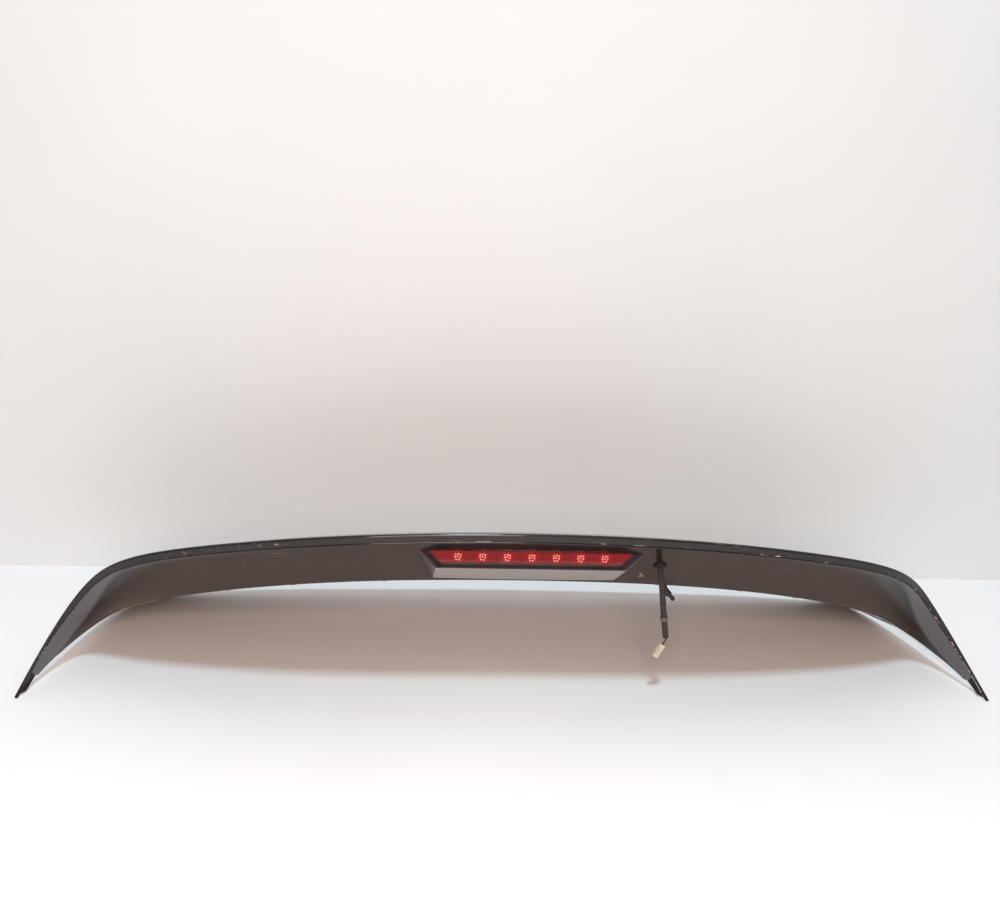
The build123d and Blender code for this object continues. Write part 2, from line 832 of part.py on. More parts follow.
# Lens, reflector, board and diodes
with BuildPart() as lamp_lens:
    with BuildSketch(lamp_plane(lens_back)):
        Polygon(*lens_outline(0), align=None)
    extrude(amount=lens_seat + lens_proud)
    fillet(lamp_lens.faces().sort_by(Axis.Y)[0].edges(), lens_round)
keep_part(lamp_lens, "lamp_lens")

reflector_front = lens_back + housing_wall + lens_clearance
reflector_back = reflector_front + reflector_depth
led_places = [((k - (led_count - 1) / 2) * led_pitch, lens_mid_z) for k in range(led_count)]
with BuildPart() as lamp_reflector:
    with BuildSketch(lamp_plane(reflector_back)):
        Polygon(*surround_outline(-housing_wall - lens_clearance), align=None)
    extrude(amount=reflector_depth)
    for place in led_places:
        with BuildSketch(lamp_plane(reflector_back)):
            with Locations(place):
                Circle(cup_base_radius)
        with BuildSketch(lamp_plane(reflector_front)):
            with Locations(place):
                Circle(cup_radius)
        loft(mode=Mode.SUBTRACT)
keep_part(lamp_reflector, "lamp_reflector")

board_front = reflector_back + seat_gap
with BuildPart() as lamp_board:
    with BuildSketch(lamp_plane(board_front + board_thickness)):
        Polygon(*surround_outline(-housing_wall - lens_clearance), align=None)
    extrude(amount=board_thickness)
keep_part(lamp_board, "lamp_board")

with BuildPart() as lamp_leds:
    with BuildSketch(lamp_plane(board_front)):
        with Locations(*led_places):
            Rectangle(led_side, led_side)
    extrude(amount=led_height)
keep_part(lamp_leds, "lamp_leds")

# Socket on the back of the lamp and the lead held inside the wing
with BuildPart() as lamp_socket:
    with BuildSketch(lamp_plane(box_back)):
        with Locations((socket_place, lens_mid_z)):
            Rectangle(socket_width, socket_height)
    extrude(amount=-socket_length)
    fillet(lamp_socket.edges().filter_by(Axis.Y), socket_round)
keep_part(lamp_socket, "lamp_socket")

lead_out = lead_plane.z_dir
grommet_back = panel_wall + bond_gap + grommet_flange
grommet_face = lead_plane.origin + lead_out * (seat_gap + grommet_flange)
socket_side = Vector(socket_place + socket_width / 2, face_y + box_back + socket_length / 2, lens_mid_z)
lead_inner_end = lead_plane.origin - lead_out * grommet_back
inner_route = [
    socket_side,
    socket_side + Vector(socket_run, 0, 0),
    socket_side + Vector(*socket_bow),
    lead_inner_end - lead_out * 2 * grommet_run + Vector(*grommet_bow),
    lead_inner_end - lead_out * grommet_run,
    lead_inner_end,
]
with BuildPart() as inner_lead:
    with BuildLine() as inner_path:
        FilletPolyline(*inner_route, radius=bend_radii(inner_route))
    with BuildSketch(Plane(origin=inner_path.line @ 0, z_dir=inner_path.line % 0)):
        Circle(inner_lead_radius)
    sweep()
keep_part(inner_lead, "inner_lead")

with BuildPart() as cable_grommet:
    with BuildSketch(lead_plane.offset(seat_gap)):
        Circle(grommet_radius)
    extrude(amount=grommet_flange)
    with BuildSketch(lead_plane.offset(seat_gap)):
        Circle(grommet_neck_radius)
    extrude(amount=-(grommet_back + seat_gap))
    with BuildSketch(lead_plane.offset(-grommet_back)):
        Circle(grommet_radius)
    extrude(amount=grommet_flange - bond_gap)
keep_part(cable_grommet, "cable_grommet")

# Lead that hangs from the grommet: taped loom, collar, wires and connector
loom_route = [grommet_face, grommet_face + lead_out * loom_first_run]
loom_route += [grommet_face + Vector(*offset) for offset in loom_offsets]
loom_radii = bend_radii(loom_route)
with BuildPart() as lead_loom:
    with BuildLine() as loom_path:
        FilletPolyline(*loom_route, radius=loom_radii)
    with BuildSketch(Plane(origin=loom_path.line @ 0, z_dir=loom_path.line % 0)):
        Circle(loom_radius)
    sweep()
keep_part(lead_loom, "lead_loom")

collar_start, collar_end = loom_route[collar_run], loom_route[collar_run + 1]
collar_dir = (collar_end - collar_start).normalized()
collar_plane = Plane(origin=(collar_start + collar_end) * 0.5, z_dir=collar_dir)
with BuildPart() as loom_collar:
    with BuildSketch(collar_plane):
        Circle(collar_radius)
        Circle(loom_radius + collar_clearance, mode=Mode.SUBTRACT)
    extrude(amount=collar_length / 2, both=True)
keep_part(loom_collar, "loom_collar")

loom_end = loom_route[-1]
loom_dir = (loom_route[-1] - loom_route[-2]).normalized()
connector_dir = Vector(-sin(radians(connector_tilt)), 0, -cos(radians(connector_tilt)))
wire_knee = loom_end + loom_dir * wire_drop
connector_top = wire_knee + connector_dir * wire_length
with BuildPart() as lead_wires:
    for side in (-1, 1):
        wire_start = loom_end + Vector(side * wire_spread / 2, 0, 0)
        wire_start += loom_dir * (seat_gap - (wire_start - loom_end).dot(loom_dir))
        knee = wire_start + loom_dir * wire_drop
        wire_end = knee + connector_dir * (connector_top - knee).dot(connector_dir)
        with BuildLine() as wire_path:
            FilletPolyline(wire_start, knee, wire_end, radius=wire_bend)
        with BuildSketch(Plane(origin=wire_path.line @ 0, z_dir=wire_path.line % 0)):
            Circle(wire_radius)
        sweep(path=wire_path.line)
keep_part(lead_wires, "lead_wires")

connector_plane = Plane(origin=connector_top, x_dir=(0, 1, 0), z_dir=connector_dir)
with BuildPart() as lead_connector:
    with BuildSketch(connector_plane):
        Rectangle(connector_thickness, connector_width)
    extrude(amount=connector_length)
    fillet(lead_connector.edges().filter_by(Axis(connector_top, connector_dir)), connector_round)
    with BuildSketch(connector_plane.offset(connector_length - connector_cavity)):
        Rectangle(connector_thickness - 2 * connector_wall, connector_width - 2 * connector_wall)
    extrude(amount=connector_cavity, mode=Mode.SUBTRACT)
    with BuildSketch(connector_plane.offset(latch_start)):
        with Locations((-(connector_thickness + latch_height) / 2, 0)):
            Rectangle(latch_height, latch_width)
    extrude(amount=latch_length)
keep_part(lead_connector, "lead_connector")

with BuildPart() as connector_terminals:
    with BuildSketch(connector_plane.offset(connector_length - connector_cavity)):
        with Locations((0, -wire_spread), (0, wire_spread)):
            Rectangle(terminal_side, terminal_side)
    extrude(amount=terminal_length)
keep_part(connector_terminals, "connector_terminals")

# Washer hose stub through the carrier
hose_out = hose_plane.z_dir
hose_seat = -(panel_wall + bond_gap) + seat_gap
with BuildPart() as hose_grommet:
    with BuildSketch(hose_plane.offset(hose_seat)):
        Circle(hose_grommet_radius)
    extrude(amount=hose_grommet_flange)
    with BuildSketch(hose_plane.offset(hose_seat)):
        Circle(hose_radius)
    extrude(amount=-(carrier_wall + 2 * seat_gap))
    with BuildSketch(hose_plane.offset(hose_seat - carrier_wall - 2 * seat_gap)):
        Circle(hose_grommet_radius)
    extrude(amount=-hose_grommet_flange)
keep_part(hose_grommet, "hose_grommet")

hose_start = hose_plane.origin + hose_out * (hose_seat + hose_grommet_flange)
hose_knee = hose_start + hose_out * hose_drop
hose_dir = Vector(sin(radians(hose_lean)), 0, -cos(radians(hose_lean)))
hose_end = hose_knee + hose_dir * hose_length
hose_route = [hose_start, hose_knee, hose_end]
with BuildPart() as washer_hose:
    with BuildLine() as hose_path:
        FilletPolyline(*hose_route, radius=bend_radii(hose_route))
    with BuildSketch(Plane(origin=hose_start, z_dir=hose_out)):
        Circle(hose_radius)
    sweep()
keep_part(washer_hose, "washer_hose")

fitting_plane = Plane(origin=hose_end, z_dir=hose_dir)
with BuildPart() as hose_fitting:
    with BuildSketch(fitting_plane):
        Circle(fitting_radius)
    extrude(amount=fitting_length)
    with BuildSketch(fitting_plane.offset(fitting_length - barb_length)):
        Circle(barb_radius)
    extrude(amount=barb_length, taper=barb_taper)
keep_part(hose_fitting, "hose_fitting")

# Eyelet in the panel beside the lamp
with BuildPart() as panel_eyelet:
    with BuildSketch(eyelet_plane.offset(seat_gap)):
        Circle(eyelet_radius)
        Circle(eyelet_bore - eyelet_wall, mode=Mode.SUBTRACT)
    extrude(amount=eyelet_flange)
    with BuildSketch(eyelet_plane.offset(seat_gap)):
        Circle(eyelet_bore)
        Circle(eyelet_bore - eyelet_wall, mode=Mode.SUBTRACT)
    extrude(amount=-(panel_wall + 2 * seat_gap))
keep_part(panel_eyelet, "panel_eyelet")

print("loom radii", [round(r, 1) for r in loom_radii])
print("inner lead radii", [round(r, 1) for r in bend_radii(inner_route)])
print("boss face height", round(boss_face, 3))
print("loom length", round(loom_path.wires()[0].length, 1))
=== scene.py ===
import json
import math
from functools import cached_property
from types import SimpleNamespace

import bmesh
import bpy
import numpy as np
from bpy.props import FloatProperty, FloatVectorProperty, IntProperty, PointerProperty
from mathutils import Matrix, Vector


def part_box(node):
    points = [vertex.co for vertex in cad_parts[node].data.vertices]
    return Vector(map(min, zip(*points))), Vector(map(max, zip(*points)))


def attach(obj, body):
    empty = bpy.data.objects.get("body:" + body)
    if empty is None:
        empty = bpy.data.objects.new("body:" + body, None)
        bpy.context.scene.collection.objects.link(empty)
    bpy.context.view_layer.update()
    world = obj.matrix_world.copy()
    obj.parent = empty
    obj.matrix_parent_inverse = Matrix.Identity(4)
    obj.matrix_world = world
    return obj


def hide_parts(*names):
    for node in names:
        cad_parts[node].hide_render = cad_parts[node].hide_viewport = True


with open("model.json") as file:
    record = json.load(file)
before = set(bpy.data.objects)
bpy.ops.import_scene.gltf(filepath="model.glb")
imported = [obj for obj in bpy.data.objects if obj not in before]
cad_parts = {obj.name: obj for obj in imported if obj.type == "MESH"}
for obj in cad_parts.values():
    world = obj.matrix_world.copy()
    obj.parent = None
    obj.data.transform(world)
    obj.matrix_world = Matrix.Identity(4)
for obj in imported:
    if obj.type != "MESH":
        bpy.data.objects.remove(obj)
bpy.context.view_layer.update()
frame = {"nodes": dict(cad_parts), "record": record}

bl_info = {
    "name": "Tailgate Spoiler",
    "version": (1, 0, 0),
    "blender": (4, 5, 0),
    "location": "View3D > Sidebar > Spoiler",
    "description": "Dresses the packed tailgate spoiler: shells, stop lamp, lead, finishes and stage",
    "category": "Object",
}

BODY = "root"

# Shape of the sections, as shares and stations (station 0 is the centre, 6 the ear tip)
LAST_STATION = 6
TAPER_START = 4.0
TIP_SHARE = 0.45
PANEL_REACH = 5.5
TAPE_REACH = (3.0, 5.0)
STATIONS_PER_UNIT = 16
EAR_BULGE = 0.07
BULGE_STATIONS = (2.3, 4.0)

# Points on the longer runs of the sections
TOP_POINTS = 41
FACE_POINTS = 25
INNER_POINTS = 13
ROUND_POINTS = 9
LIP_POINTS = 7

# Painted reflection on the ears, a paler band beside the seam: stations, reach over the face, bend, soft
# border and fade to the centre
SHEEN_STATIONS = (3.1, 5.1)
SHEEN_REACH = 1.2
SHEEN_BEND = 1.25
SHEEN_BORDER = 0.10
SHEEN_OUTSIDE = 2.0
SHEEN_FADE_START = 1.2
SHEEN_FADE_LENGTH = 1.6

# Wear of the lip, partly painted glints: share at the centre, and what the ears add from a station over a
# length
LIP_WEAR_AND_GLINT = 0.8
EAR_WEAR_AND_GLINT = 0.5
EAR_WEAR_AND_GLINT_START = 4.0
EAR_WEAR_AND_GLINT_LENGTH = 1.5

# Details of the sections, in metres and radians
LIP_TURN = math.radians(61)
NOSE = 0.0035
SEAM_GAP = 0.0012
SEAM_STEP = 0.0008
FLANGE_OVERLAP = 0.0042
LIP_GAP = 0.0005
SHOULDER_LENGTH = 0.004
SHOULDER_DEPTH = 0.0015
EDGE_ROUND = 0.003
RETURN_FLANGE = 0.012
FACE_CROWN = 0.0001
PANEL_CUT_GAP = 0.0004
RESIDUE_GAP = 0.0003
SHARP_DEG = 35.0

# Stop lamp, in metres
LAMP_DROP = 0.025
FACE_HEIGHT = 0.025
FACE_HALF_TOP = 0.142
FACE_HALF_BOTTOM = 0.118
CHIN_HALF = 0.119
CHIN_RISE = 0.0045
FACE_WALL = 0.009
BEZEL_WALL = 0.0025
BEZEL_DEPTH = 0.012
OPENING_SIDE = 0.002
OPENING_TOP = 0.0008
OPENING_BOTTOM = 0.0012
SURROUND_MARGIN = 0.001
SURROUND_BOTTOM = 0.002
SURROUND_GAP = 0.0003
LENS_HALF_TOP = 0.1275
LENS_HALF_BOTTOM = 0.113
LENS_BELOW_FACE = 0.0032
LENS_BACK = 0.009
LENS_FRONT = 0.0045
LENS_ROUND = 0.001
# Heights above the lens's bottom over which its painted reflection, a paler foot, fades out
LENS_FOOT_REFLECTION = (0.0035, 0.0055)
FLUTE_PITCH = 0.00425
LED_PITCH = 0.269 * LENS_HALF_BOTTOM
# Reach of the painted glow round each diode
HALO_RADIUS = 0.0062
FACET_RADIUS = 0.0019
FACET_RISE = 0.0004
FACET_SPOTS = [(-0.0030, 0.0034), (0.0005, 0.0040), (0.0032, 0.0030), (-0.0034, 0.0002),
               (0.0031, -0.0004), (-0.0021, -0.0030), (0.0013, -0.0036), (-0.0004, 0.0008)]
CHIN_FACE = 4  # place of the chin in the frame's list of faces

# Lead: the route of its loom, from the grommet's face to the wires
LOOM_ROUTE = [
    (0.16727, -0.10875, 0.16617),
    (0.16711, -0.11484, 0.16024),
    (0.16827, -0.11935, 0.15177),
    (0.16967, -0.12175, 0.14077),
    (0.17167, -0.12235, 0.12717),
    (0.17427, -0.12215, 0.11117),
    (0.17747, -0.12185, 0.09367),
    (0.18107, -0.12165, 0.07517),
]
LOOM_SIDES = 48
LOOM_RINGS = 220
WRAP_LENGTH = 0.03
LEAD_ORIGIN = (0.16732, -0.10682, 0.16805)
LEAD_NORMAL = (-0.0188, -0.7165, -0.6974)
LEAD_HOLE = 0.0066
EYELET_ORIGIN = (0.14971, -0.08360, 0.14469)
EYELET_NORMAL = (-0.0190, -0.7162, -0.6976)
EYELET_HOLE = 0.0025

# Camera: place, turn about the vertical, downward tilt and roll
CAMERA_PLACE = (-0.161, -1.251, 0.676)
CAMERA_YAW = math.radians(-5.8)
CAMERA_PITCH = math.radians(17.61)
CAMERA_ROLL = math.radians(3.3)
CAMERA_LENS = 36.0

# Stage: sizes in metres, surroundings, and each light's place, side, power and colour
WALL_Y = 0.235
WALL_HEIGHT = 4.0
STAGE_REACH = 6.0
WORLD_COLOUR = (1.0, 0.86, 0.79, 1.0)
WORLD_STRENGTH = 0.42
LIGHT_AIM = (0.0, 0.0, 0.1)
LIGHTS = {
    "key lamp": ((0.05, -1.25, 4.2), 0.5, 84.0, (0.64, 0.875, 1.0)),
    "front fill": ((-0.16, -1.62, 0.98), 0.7, 23.0, (1.0, 0.72, 0.58)),
}

# Finishes of the solids that stay, by slot: name, colour, roughness, grain scale, grain depth,
# share of colour variation and metallic
PLAIN_FINISHES = {
    "carrier_plastic": ("carrier plastic", (0.020, 0.020, 0.022), 0.62, 700.0, 0.0003, 0.25, 0.0),
    "screw_steel": ("screw steel", (0.42, 0.41, 0.40), 0.38, 1400.0, 0.00005, 0.2, 1.0),
    "insert_brass": ("insert brass", (0.58, 0.42, 0.18), 0.35, 1400.0, 0.00005, 0.2, 1.0),
    "seal_foam": ("seal foam", (0.022, 0.022, 0.023), 0.9, 420.0, 0.0008, 0.35, 0.0),
    "housing_plastic": ("housing plastic", (0.040, 0.039, 0.042), 0.48, 900.0, 0.0001, 0.25, 0.0),
    "reflector_silver": ("reflector silver", (0.80, 0.79, 0.78), 0.15, 300.0, 0.00005, 0.1, 1.0),
    "board_green": ("board green", (0.03, 0.15, 0.06), 0.45, 800.0, 0.0001, 0.25, 0.0),
    "diode_clear": ("diode resin", (0.85, 0.72, 0.66), 0.2, 800.0, 0.00003, 0.1, 0.0),
    "lead_rubber": ("lead rubber", (0.018, 0.018, 0.019), 0.55, 1000.0, 0.0001, 0.25, 0.0),
    "collar_tape": ("collar band", (0.10, 0.10, 0.105), 0.5, 1200.0, 0.0001, 0.25, 0.0),
    "wire_cover": ("wire cover", (0.022, 0.018, 0.018), 0.4, 1200.0, 0.00005, 0.25, 0.0),
    "fitting_plastic": ("fitting plastic", (0.028, 0.028, 0.030), 0.4, 1000.0, 0.0001, 0.25, 0.0),
    "eyelet_metal": ("eyelet metal", (0.62, 0.60, 0.57), 0.3, 1200.0, 0.00005, 0.2, 1.0),
}


def length_prop(name, description, default):
    """A length property in metres."""
    return FloatProperty(name=name, description=description, default=default, min=0.0, precision=4,
                         unit="LENGTH", subtype="DISTANCE")


def colour_prop(name, description, default):
    """A linear colour property."""
    return FloatVectorProperty(name=name, description=description, default=default, size=3, min=0.0,
                               max=1.0, subtype="COLOR")


class SpoilerSizes(bpy.types.PropertyGroup):
    """Sizes of the dressed shells, lamp and lead."""

    half_width: length_prop("Half width", "Centre to ear tip", 0.621)
    crown_height: length_prop("Crown height", "Trailing edge above the ground at the centre", 0.226)
    wing_depth: length_prop("Depth", "Trailing edge to leading edge at the centre", 0.3)
    lower_depth: length_prop("Lower edge depth", "Panel's lower edge behind the trailing edge", 0.09)
    lower_height: length_prop("Lower edge height", "Panel's lower edge above the ground", 0.123)
    leading_height: length_prop("Leading height", "Leading edge above the ground", 0.06)
    camber: length_prop("Camber", "Rise of the outer skin above its chord", 0.016)
    lip_length: length_prop("Lip", "Turned-down rear edge of the outer skin", 0.0105)
    skin_wall: length_prop("Skin wall", "Thickness of the outer skin", 0.003)
    panel_wall: length_prop("Panel wall", "Thickness of the rear panel", 0.0025)
    edge_bevel: length_prop("Edge bevel", "Rounding of the moulded edges", 0.0004)
    frame_bevel: length_prop("Lamp frame rounding", "Rounding of the lamp frame's edges", 0.0012)
    lens_height: length_prop("Lens height", "Height of the red lens", 0.0165)
    loom_radius: length_prop("Loom radius", "Radius of the taped loom", 0.0039)
    tape_pitch: length_prop("Tape pitch", "Step of the tape wound on the loom", 0.0085)
    tape_width: length_prop("Residue width", "Width of the tape left under the ears", 0.009)
    tape_thickness: length_prop("Residue thickness", "Thickness of the tape left under the ears", 0.0012)
    led_count: IntProperty(name="Diodes", description="Diodes behind the lens", default=7, min=1)


class SpoilerColours(bpy.types.PropertyGroup):
    """Colours of the finishes."""

    skin: colour_prop("Skin paint", "Clear-coated paint of the outer skin", (0.011, 0.009, 0.011))
    panel: colour_prop("Panel paint", "Clear-coated paint of the rear panel", (0.010, 0.005, 0.005))
    # Painted reflection: the frame shares the panel's paint, and this lighter bluish grey stands for
    # reflected surroundings
    frame: colour_prop("Lamp frame paint", "Paint of the lamp frame", (0.040, 0.039, 0.046))
    # Painted reflection: the paler ear band stands for pale surroundings mirrored in the curved paint
    painted_sheen: colour_prop("Ear haze", "Paler band beside the seam on the ears", (0.105, 0.100, 0.120))
    # Painted reflection: the chin's pale grey stands for the pale table mirrored at a grazing angle
    chin: colour_prop("Lamp chin", "Paler underside of the lamp frame", (0.36, 0.36, 0.36))
    # Rubbed paint colour; along the lip and ear edges its pale marks also paint on glints, painted
    # highlights
    bare_edge_and_glint: colour_prop("Bare edge", "Pale plastic where the paint is rubbed off", (0.56, 0.54, 0.53))
    dust: colour_prop("Dust", "Specks on the paint", (0.42, 0.38, 0.36))
    lens: colour_prop("Lens", "Red lens", (0.16, 0.003, 0.006))
    # Painted reflection: the paler, greyer foot of the lens
    lens_foot_reflection: colour_prop("Lens foot", "Paler foot of the lens", (0.19, 0.035, 0.040))
    # Painted glints and painted glow: the lens emits these colours over and round the diodes, with no
    # working lamp inside
    diode: colour_prop("Diode facets", "Bright facets over the diodes", (1.0, 0.36, 0.32))
    painted_halo: colour_prop("Diode halo", "Red glow round the diodes", (0.62, 0.012, 0.018))
    loom: colour_prop("Loom tape", "Tape wound on the lead", (0.020, 0.020, 0.022))
    connector: colour_prop("Connector", "Off-white connector", (0.56, 0.50, 0.41))
    residue: colour_prop("Residue", "Tape left under the ears", (0.52, 0.42, 0.31))
    floor: colour_prop("Floor", "Pale table", (0.86, 0.87, 0.885))
    wall: colour_prop("Wall", "Pale wall", (0.74, 0.80, 0.83))


# Surfaces


def edge_rows(sizes):
    """Trailing, lower and leading edge points from the centre to the right ear tip."""
    hw, crown, depth = sizes.half_width, sizes.crown_height, sizes.wing_depth
    low_y, low_z, lead_z = sizes.lower_depth, sizes.lower_height, sizes.leading_height
    trailing = [(0, 0, crown), (0.322 * hw, 0.003, crown - 0.0065), (0.596 * hw, 0.022, crown - 0.029),
                (0.789 * hw, 0.053, crown - 0.063), (hw - 0.065, 0.078, 0.111),
                (hw - 0.025, 0.051, 0.051), (hw - 0.001, 0.0002, 0.0011)]
    lower = [(0, low_y, low_z), (0.322 * hw, low_y, low_z - 0.004),
             (0.596 * hw, low_y + 0.019, low_z - 0.027), (0.784 * hw, low_y + 0.051, low_z - 0.061),
             (hw - 0.073, 0.134, 0.040), (hw - 0.030, 0.069, 0.019), (hw - 0.009, 0.009, 0.002)]
    leading = [(0, depth, lead_z), (0.322 * hw, depth - 0.001, lead_z - 0.008),
               (0.596 * hw, depth - 0.002, lead_z - 0.027), (0.784 * hw, depth - 0.006, lead_z - 0.0498),
               (hw - 0.070, 0.262, 0.0046), (hw - 0.031, 0.106, 0.024), (hw - 0.010, 0.013, 0.003)]
    rows = []
    for half in (trailing, lower, leading):
        right = np.array(half, float) - [0, depth / 2, 0]
        rows.append(np.concatenate([right[:0:-1] * [-1, 1, 1], right]))
    return rows


def edge_curve(rows, stations):
    """Natural cubic spline through equally spaced rows: the bends solve rows of 1, 4, 1
    against six times the second differences, and each span adds its cubic part."""
    count = len(rows)
    system = np.eye(count)
    inner = np.arange(1, count - 1)
    system[inner, inner - 1] = 1
    system[inner, inner] = 4
    system[inner, inner + 1] = 1
    load = np.zeros_like(rows)
    load[1:-1] = 6 * (rows[:-2] - 2 * rows[1:-1] + rows[2:])
    bends = np.linalg.solve(system, load)
    place = np.asarray(stations, float) + LAST_STATION
    k = np.minimum(place.astype(int), count - 2)
    t = (place - k)[:, None]
    s = 1 - t
    straight = s * rows[k] + t * rows[k + 1]
    return straight + ((s**3 - s) * bends[k] + (t**3 - t) * bends[k + 1]) / 6


def unit(vectors):
    """Vectors divided by their lengths."""
    return vectors / np.linalg.norm(vectors, axis=-1, keepdims=True)


def turned(vectors):
    """Plane vectors turned a quarter turn to the inner side: (x, y) becomes (y, -x)."""
    return np.stack([vectors[..., 1], -vectors[..., 0]], -1)


def ear_share(stations, start, length, most=1.0):
    """Share that grows from none at a start station, on either side, by one over a length."""
    return np.clip((np.abs(stations) - start) / length, 0, most)


def eased(share):
    """Share with a soft start and end: three squares less two cubes."""
    return share**2 * (3 - 2 * share)


def section_frames(sizes, stations):
    """Section planes at stations: origin on the trailing edge, first axis along the chord to the
    leading edge, second axis towards the lower edge, with the walls and directions of each section."""
    stations = np.asarray(stations, float)
    trailing, lower, leading = (edge_curve(rows, stations) for rows in edge_rows(sizes))
    chord = leading - trailing
    f = SimpleNamespace(stations=stations, origin=trailing)
    f.chord = np.linalg.norm(chord, axis=1)
    f.along = unit(chord)
    f.across = np.cross(unit(np.cross(chord, lower - trailing)), f.along)
    drop = lower - trailing
    f.lower = np.stack([(drop * f.along).sum(1), (drop * f.across).sum(1)], 1)
    f.leading = np.stack([f.chord, np.zeros_like(f.chord)], 1)
    outward = eased(ear_share(stations, TAPER_START, LAST_STATION - TAPER_START))
    f.scale = (1 - (1 - TIP_SHARE) * outward)[:, None]
    f.skin = sizes.skin_wall * f.scale
    f.panel = sizes.panel_wall * f.scale
    f.lip = sizes.lip_length * f.scale
    span = math.hypot(sizes.wing_depth, sizes.crown_height - sizes.leading_height)
    f.rise = (sizes.camber * f.chord / span)[:, None]
    f.slope = 4 * f.rise / f.chord[:, None]
    f.lip_dir = np.array([math.cos(LIP_TURN), math.sin(LIP_TURN)])
    f.lip_in = turned(f.lip_dir)
    f.shoulder = f.lip_dir * (f.lip + SEAM_GAP * f.scale) + f.lip_in * SEAM_STEP * f.scale
    f.panel_dir = unit(f.lower - f.shoulder)
    f.panel_in = turned(f.panel_dir)
    face_length = np.linalg.norm(f.lower - f.shoulder, axis=1)
    low, high = BULGE_STATIONS
    grown = eased(ear_share(stations, low, high - low))
    f.bulge = (FACE_CROWN + EAR_BULGE * face_length * grown)[:, None]
    f.mount_dir = unit(f.leading - f.lower)
    f.mount_in = turned(f.mount_dir)
    return f


def placed(f, profile):
    """Section points, one row per station, as points in space."""
    return (f.origin[:, None] + profile[..., :1] * f.along[:, None]
            + profile[..., 1:] * f.across[:, None])


def arc(a, b, c, count):
    """Points at equal angles on the circle through a, b and c, from a to c, for every station."""
    p, q = b - a, c - a
    double = 2 * (p[:, 0] * q[:, 1] - p[:, 1] * q[:, 0])
    pp, qq = (p * p).sum(1), (q * q).sum(1)
    offset = np.stack([q[:, 1] * pp - p[:, 1] * qq, p[:, 0] * qq - q[:, 0] * pp], 1)
    centre = a + offset / double[:, None]
    start, end = a - centre, c - centre
    first = np.arctan2(start[:, 1], start[:, 0])
    sweep = np.arctan2(end[:, 1], end[:, 0]) - first
    sweep = (sweep + np.pi) % (2 * np.pi) - np.pi
    angle = first[:, None] + sweep[:, None] * np.linspace(0, 1, count)
    radius = np.linalg.norm(start, axis=1)[:, None]
    return centre[:, None] + np.stack([radius * np.cos(angle), radius * np.sin(angle)], -1)


def straight(a, b, count):
    """Evenly spaced points from a to b for every station."""
    share = np.linspace(0, 1, count)[None, :, None]
    return a[:, None] * (1 - share) + b[:, None] * share


def joined_runs(runs):
    """Runs of section points joined into one closed profile, each run's last point dropped."""
    return np.concatenate([run[:, :-1] for run in runs], axis=1)


def run_values(runs, given, other=0.0):
    """One value per point of the joined runs: those given by the run's place, and another elsewhere."""
    return np.concatenate([np.broadcast_to(given.get(k, other), run.shape[1] - 1)
                           for k, run in enumerate(runs)])


def meeting(p, d, q, e):
    """Crossing of two lines in the section plane, each a point and a direction."""
    cross = d[:, 0] * e[:, 1] - d[:, 1] * e[:, 0]
    gap = q - p
    return p + d * ((gap[:, 0] * e[:, 1] - gap[:, 1] * e[:, 0]) / cross)[:, None]


def skin_profile(f):
    """Outer skin's closed profile: cambered top as an arc, rounded nose, lip, lip end and the inside one
    wall away; with the share of edge wear, partly painted glints, at each point."""
    nose = NOSE * f.scale
    top_end = np.concatenate([nose, -f.slope * nose], 1)
    lip_start = f.lip_dir * nose
    half_corner = (LIP_TURN + np.arctan(f.slope)) / 2
    bisector = LIP_TURN - half_corner
    nose_gap = nose * (1 / np.cos(half_corner) - np.tan(half_corner))
    nose_middle = np.concatenate([np.cos(bisector), np.sin(bisector)], 1) * nose_gap
    lip_end = f.lip_dir * f.lip
    lip_back = lip_end + f.lip_in * f.skin
    root = np.sqrt(1 + f.slope**2) + math.cos(LIP_TURN) - f.slope * math.sin(LIP_TURN)
    inner_start = f.skin * root / (math.sin(LIP_TURN) + f.slope * math.cos(LIP_TURN))
    corner = f.lip_in * f.skin + f.lip_dir * inner_start
    edge = np.concatenate([f.chord[:, None], f.skin], 1)
    top_middle = np.concatenate([f.chord[:, None] / 2, -f.rise], 1)
    inner_middle = top_middle + np.concatenate([np.zeros_like(f.skin), f.skin], 1)
    runs = [arc(f.leading, top_middle, top_end, TOP_POINTS),
            arc(top_end, nose_middle, lip_start, ROUND_POINTS),
            straight(lip_start, lip_end, LIP_POINTS), straight(lip_end, lip_back, 3),
            straight(lip_back, corner, 4), arc(corner, inner_middle, edge, FACE_POINTS),
            straight(edge, f.leading, 3)]
    return joined_runs(runs), run_values(runs, {2: [0, 0, 0, 0, 0, 0.5], 3: 1.0})


